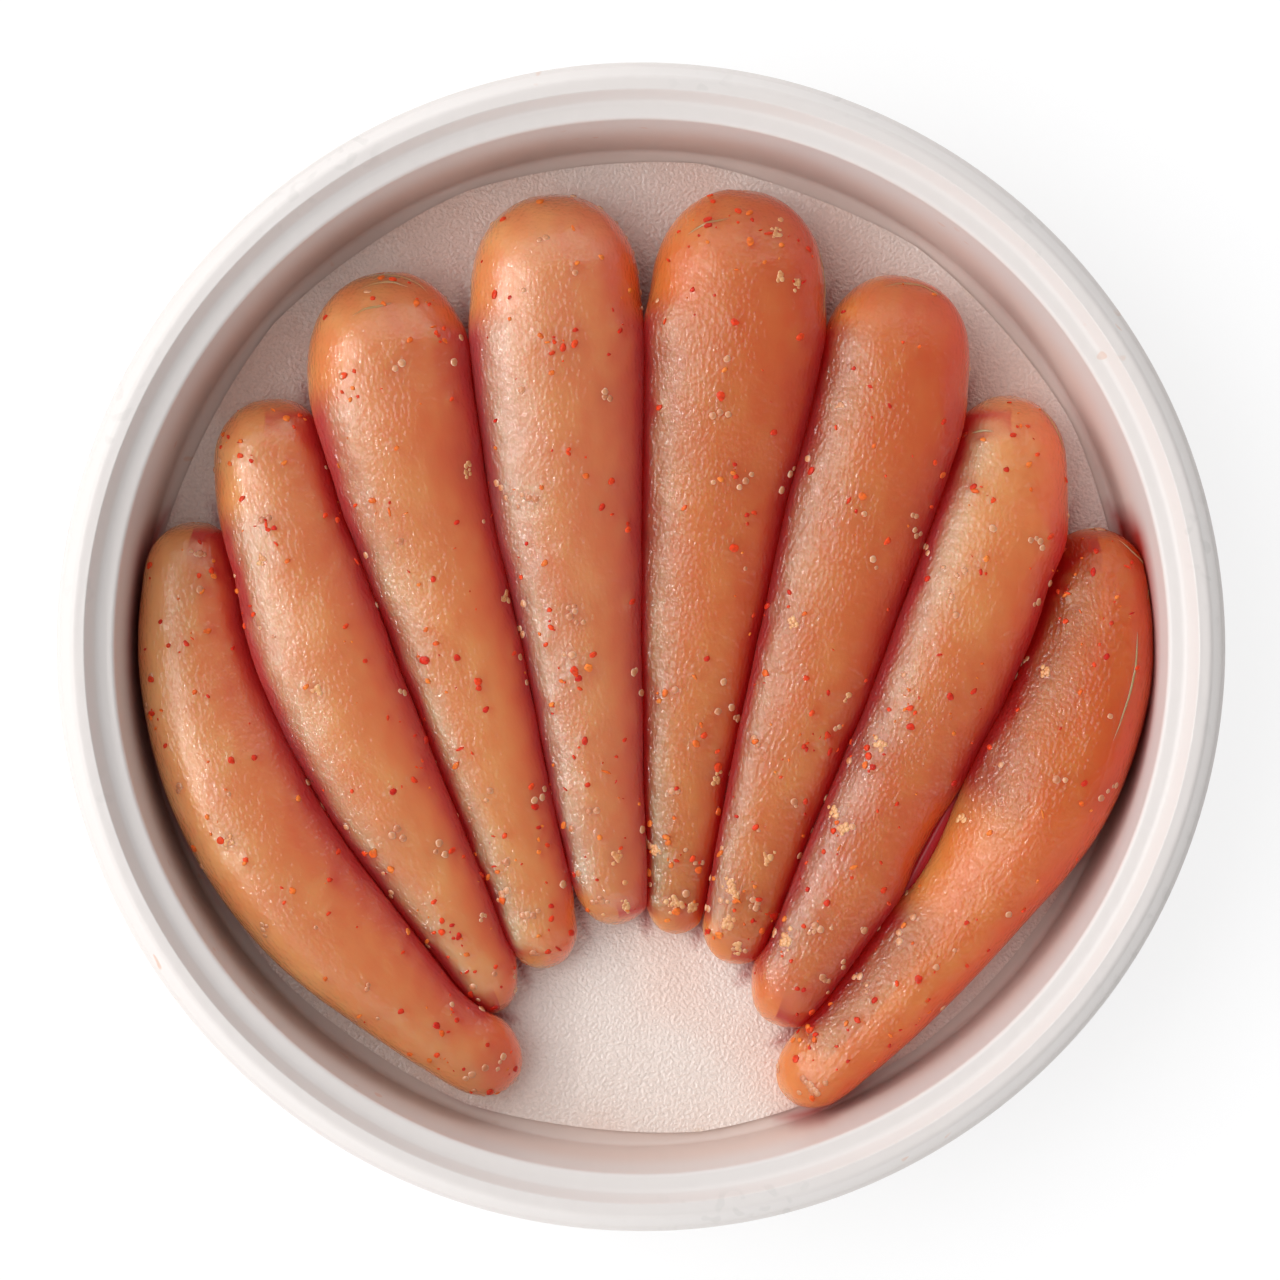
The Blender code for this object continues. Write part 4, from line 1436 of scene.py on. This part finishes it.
# dark red, partly marinade and partly painted shade filling the seams
marinade_and_seam_shade_finish, _, _ = start_finish(
    "wet_marinade_and_seam_shade", Base_Color=(0.46, 0.014, 0.022, 1), Roughness=0.25, Specular_IOR_Level=0.3,
    Coat_Weight=0.3, Coat_Roughness=0.1,
)
seam_points, seam_faces = [], []
for one, two in zip(plans, plans[1:]):
    spots, radii = seam(one, two)
    shares = taper(len(spots))
    radii = [radius * share for radius, share in zip(radii, shares)]
    spots = [spot - Vector((0, 0, SEAM_DIP * (1 - share))) for spot, share in zip(spots, shares)]
    add_cord(seam_points, seam_faces, spots, radii, [Vector((0, 0, 1))] * len(spots))
add_piece("seam_marinade_and_painted_shade", seam_points, seam_faces, marinade_and_seam_shade_finish)

# %% [markdown]
# ## Floor, light and camera
#
# The photo was taken from straight above with a long lens, on white. Two kinds of light shape the
# shine. A long narrow strip, 38 degrees high on the left, is what the film's ripples catch as
# glints. The room behind it is bright in a soft round patch, which the membrane's gloss spreads
# into a haze down the left of every sac, and it shades the inside of the tub's left wall. White
# walls beyond the tub's back and front fill in softly.

# %% The floor
FLOOR_SIZE = 3.0
floor_mesh = bpy.data.meshes.new("studio_floor")
h = FLOOR_SIZE / 2
floor_mesh.from_pydata([(-h, -h, 0), (h, -h, 0), (h, h, 0), (-h, h, 0)], [], [(0, 1, 2, 3)])
studio_floor = bpy.data.objects.new("studio_floor", floor_mesh)
bpy.context.scene.collection.objects.link(studio_floor)
table, _, _ = start_finish(
    "pale_lit_table", Base_Color=(0.34, 0.34, 0.34, 1), Roughness=0.8, Specular_IOR_Level=0.1,
    Emission_Color=(1, 1, 1, 1), Emission_Strength=0.7,
)
floor_mesh.materials.append(table)
print(f"the floor is {FLOOR_SIZE} m across")

# %% The lights
def softbox(name, azimuth, elevation, distance, size, power, colour):
    """A soft rectangular light that faces the tub's middle; angles in degrees."""
    turn, rise = math.radians(azimuth), math.radians(elevation)
    flat = math.cos(rise)
    towards = Vector((math.cos(turn) * flat, math.sin(turn) * flat, math.sin(rise)))
    lamp = bpy.data.lights.new(name, "AREA")
    lamp.shape = "RECTANGLE"
    lamp.size, lamp.size_y = size
    lamp.energy = power
    lamp.color = colour
    box = bpy.data.objects.new(name, lamp)
    box.location = towards * distance
    box.rotation_euler = towards.to_track_quat("Z", "Y").to_euler()
    bpy.context.scene.collection.objects.link(box)
    print(f"{name}: {power} W, {distance} m away")


softbox(
    "key_softbox", azimuth=181, elevation=38, distance=2.20, size=(3.20, 0.10), power=14.0,
    colour=(1.0, 0.985, 0.965),
)

# %% The room's own light
ROOM_DARK, ROOM_BRIGHT = 0.30, 2.60  # the room on the right, and high on the key's side
ROOM_COLOUR = (0.98, 0.985, 1.0, 1)
WALL_GLOW = 1.10  # added by the white walls beyond the tub's back and front
BRIGHT_SIDE = Vector((-0.665, 0.10, 0.740))
BRIGHT_REACH = 0.78  # cosine of the angle from its middle at which the bright patch ends

world = bpy.data.worlds.new("studio")
world.use_nodes = True
room = world.node_tree
direction = node(room, "TexCoord").outputs["Generated"]
facing = node(room, "VectorMath", [direction, BRIGHT_SIDE], operation="DOT_PRODUCT")
glow = soft_step(room, facing.outputs["Value"], BRIGHT_REACH, 1.0, ROOM_DARK, ROOM_BRIGHT)
depth = math_node(room, "ABSOLUTE", node(room, "SeparateXYZ", [direction]).outputs["Y"])
strength = math_node(room, "ADD", glow, soft_step(room, depth, 0.4, 1.0, 0.0, WALL_GLOW))
background = room.nodes["Background"]
background.inputs["Color"].default_value = ROOM_COLOUR
room.links.new(strength, background.inputs["Strength"])
bpy.context.scene.world = world
print(f"the room shines from {ROOM_DARK} to {ROOM_BRIGHT + WALL_GLOW}")

# %% [markdown]
# ### The camera
#
# The camera stands where the pixels were read from. The picture is 1280 pixels wide, and the aim
# point below puts the tub's middle on the same pixel as in the photo.

# %% The camera
FRAME = 1280
SENSOR = 36.0

camera_data = bpy.data.cameras.new("overhead_camera")
camera_data.sensor_width = SENSOR
camera_data.lens = SENSOR * CAMERA_HEIGHT / (FRAME * PIXEL)
camera = bpy.data.objects.new("overhead_camera", camera_data)
camera.location = (*CAMERA_ASIDE, TUB_HEIGHT + CAMERA_HEIGHT)
aim_x = (FRAME / 2 - TUB_MIDDLE_PIXEL[0]) * PIXEL
aim_y = (TUB_MIDDLE_PIXEL[1] - FRAME / 2) * PIXEL
camera.rotation_euler = (
    math.atan2(aim_y - CAMERA_ASIDE[1], CAMERA_HEIGHT),
    -math.atan2(aim_x - CAMERA_ASIDE[0], CAMERA_HEIGHT),
    0,
)
bpy.context.scene.collection.objects.link(camera)
bpy.context.scene.camera = camera
bpy.context.scene.view_settings.view_transform = "Standard"
print(f"lens {camera_data.lens:.1f} mm")
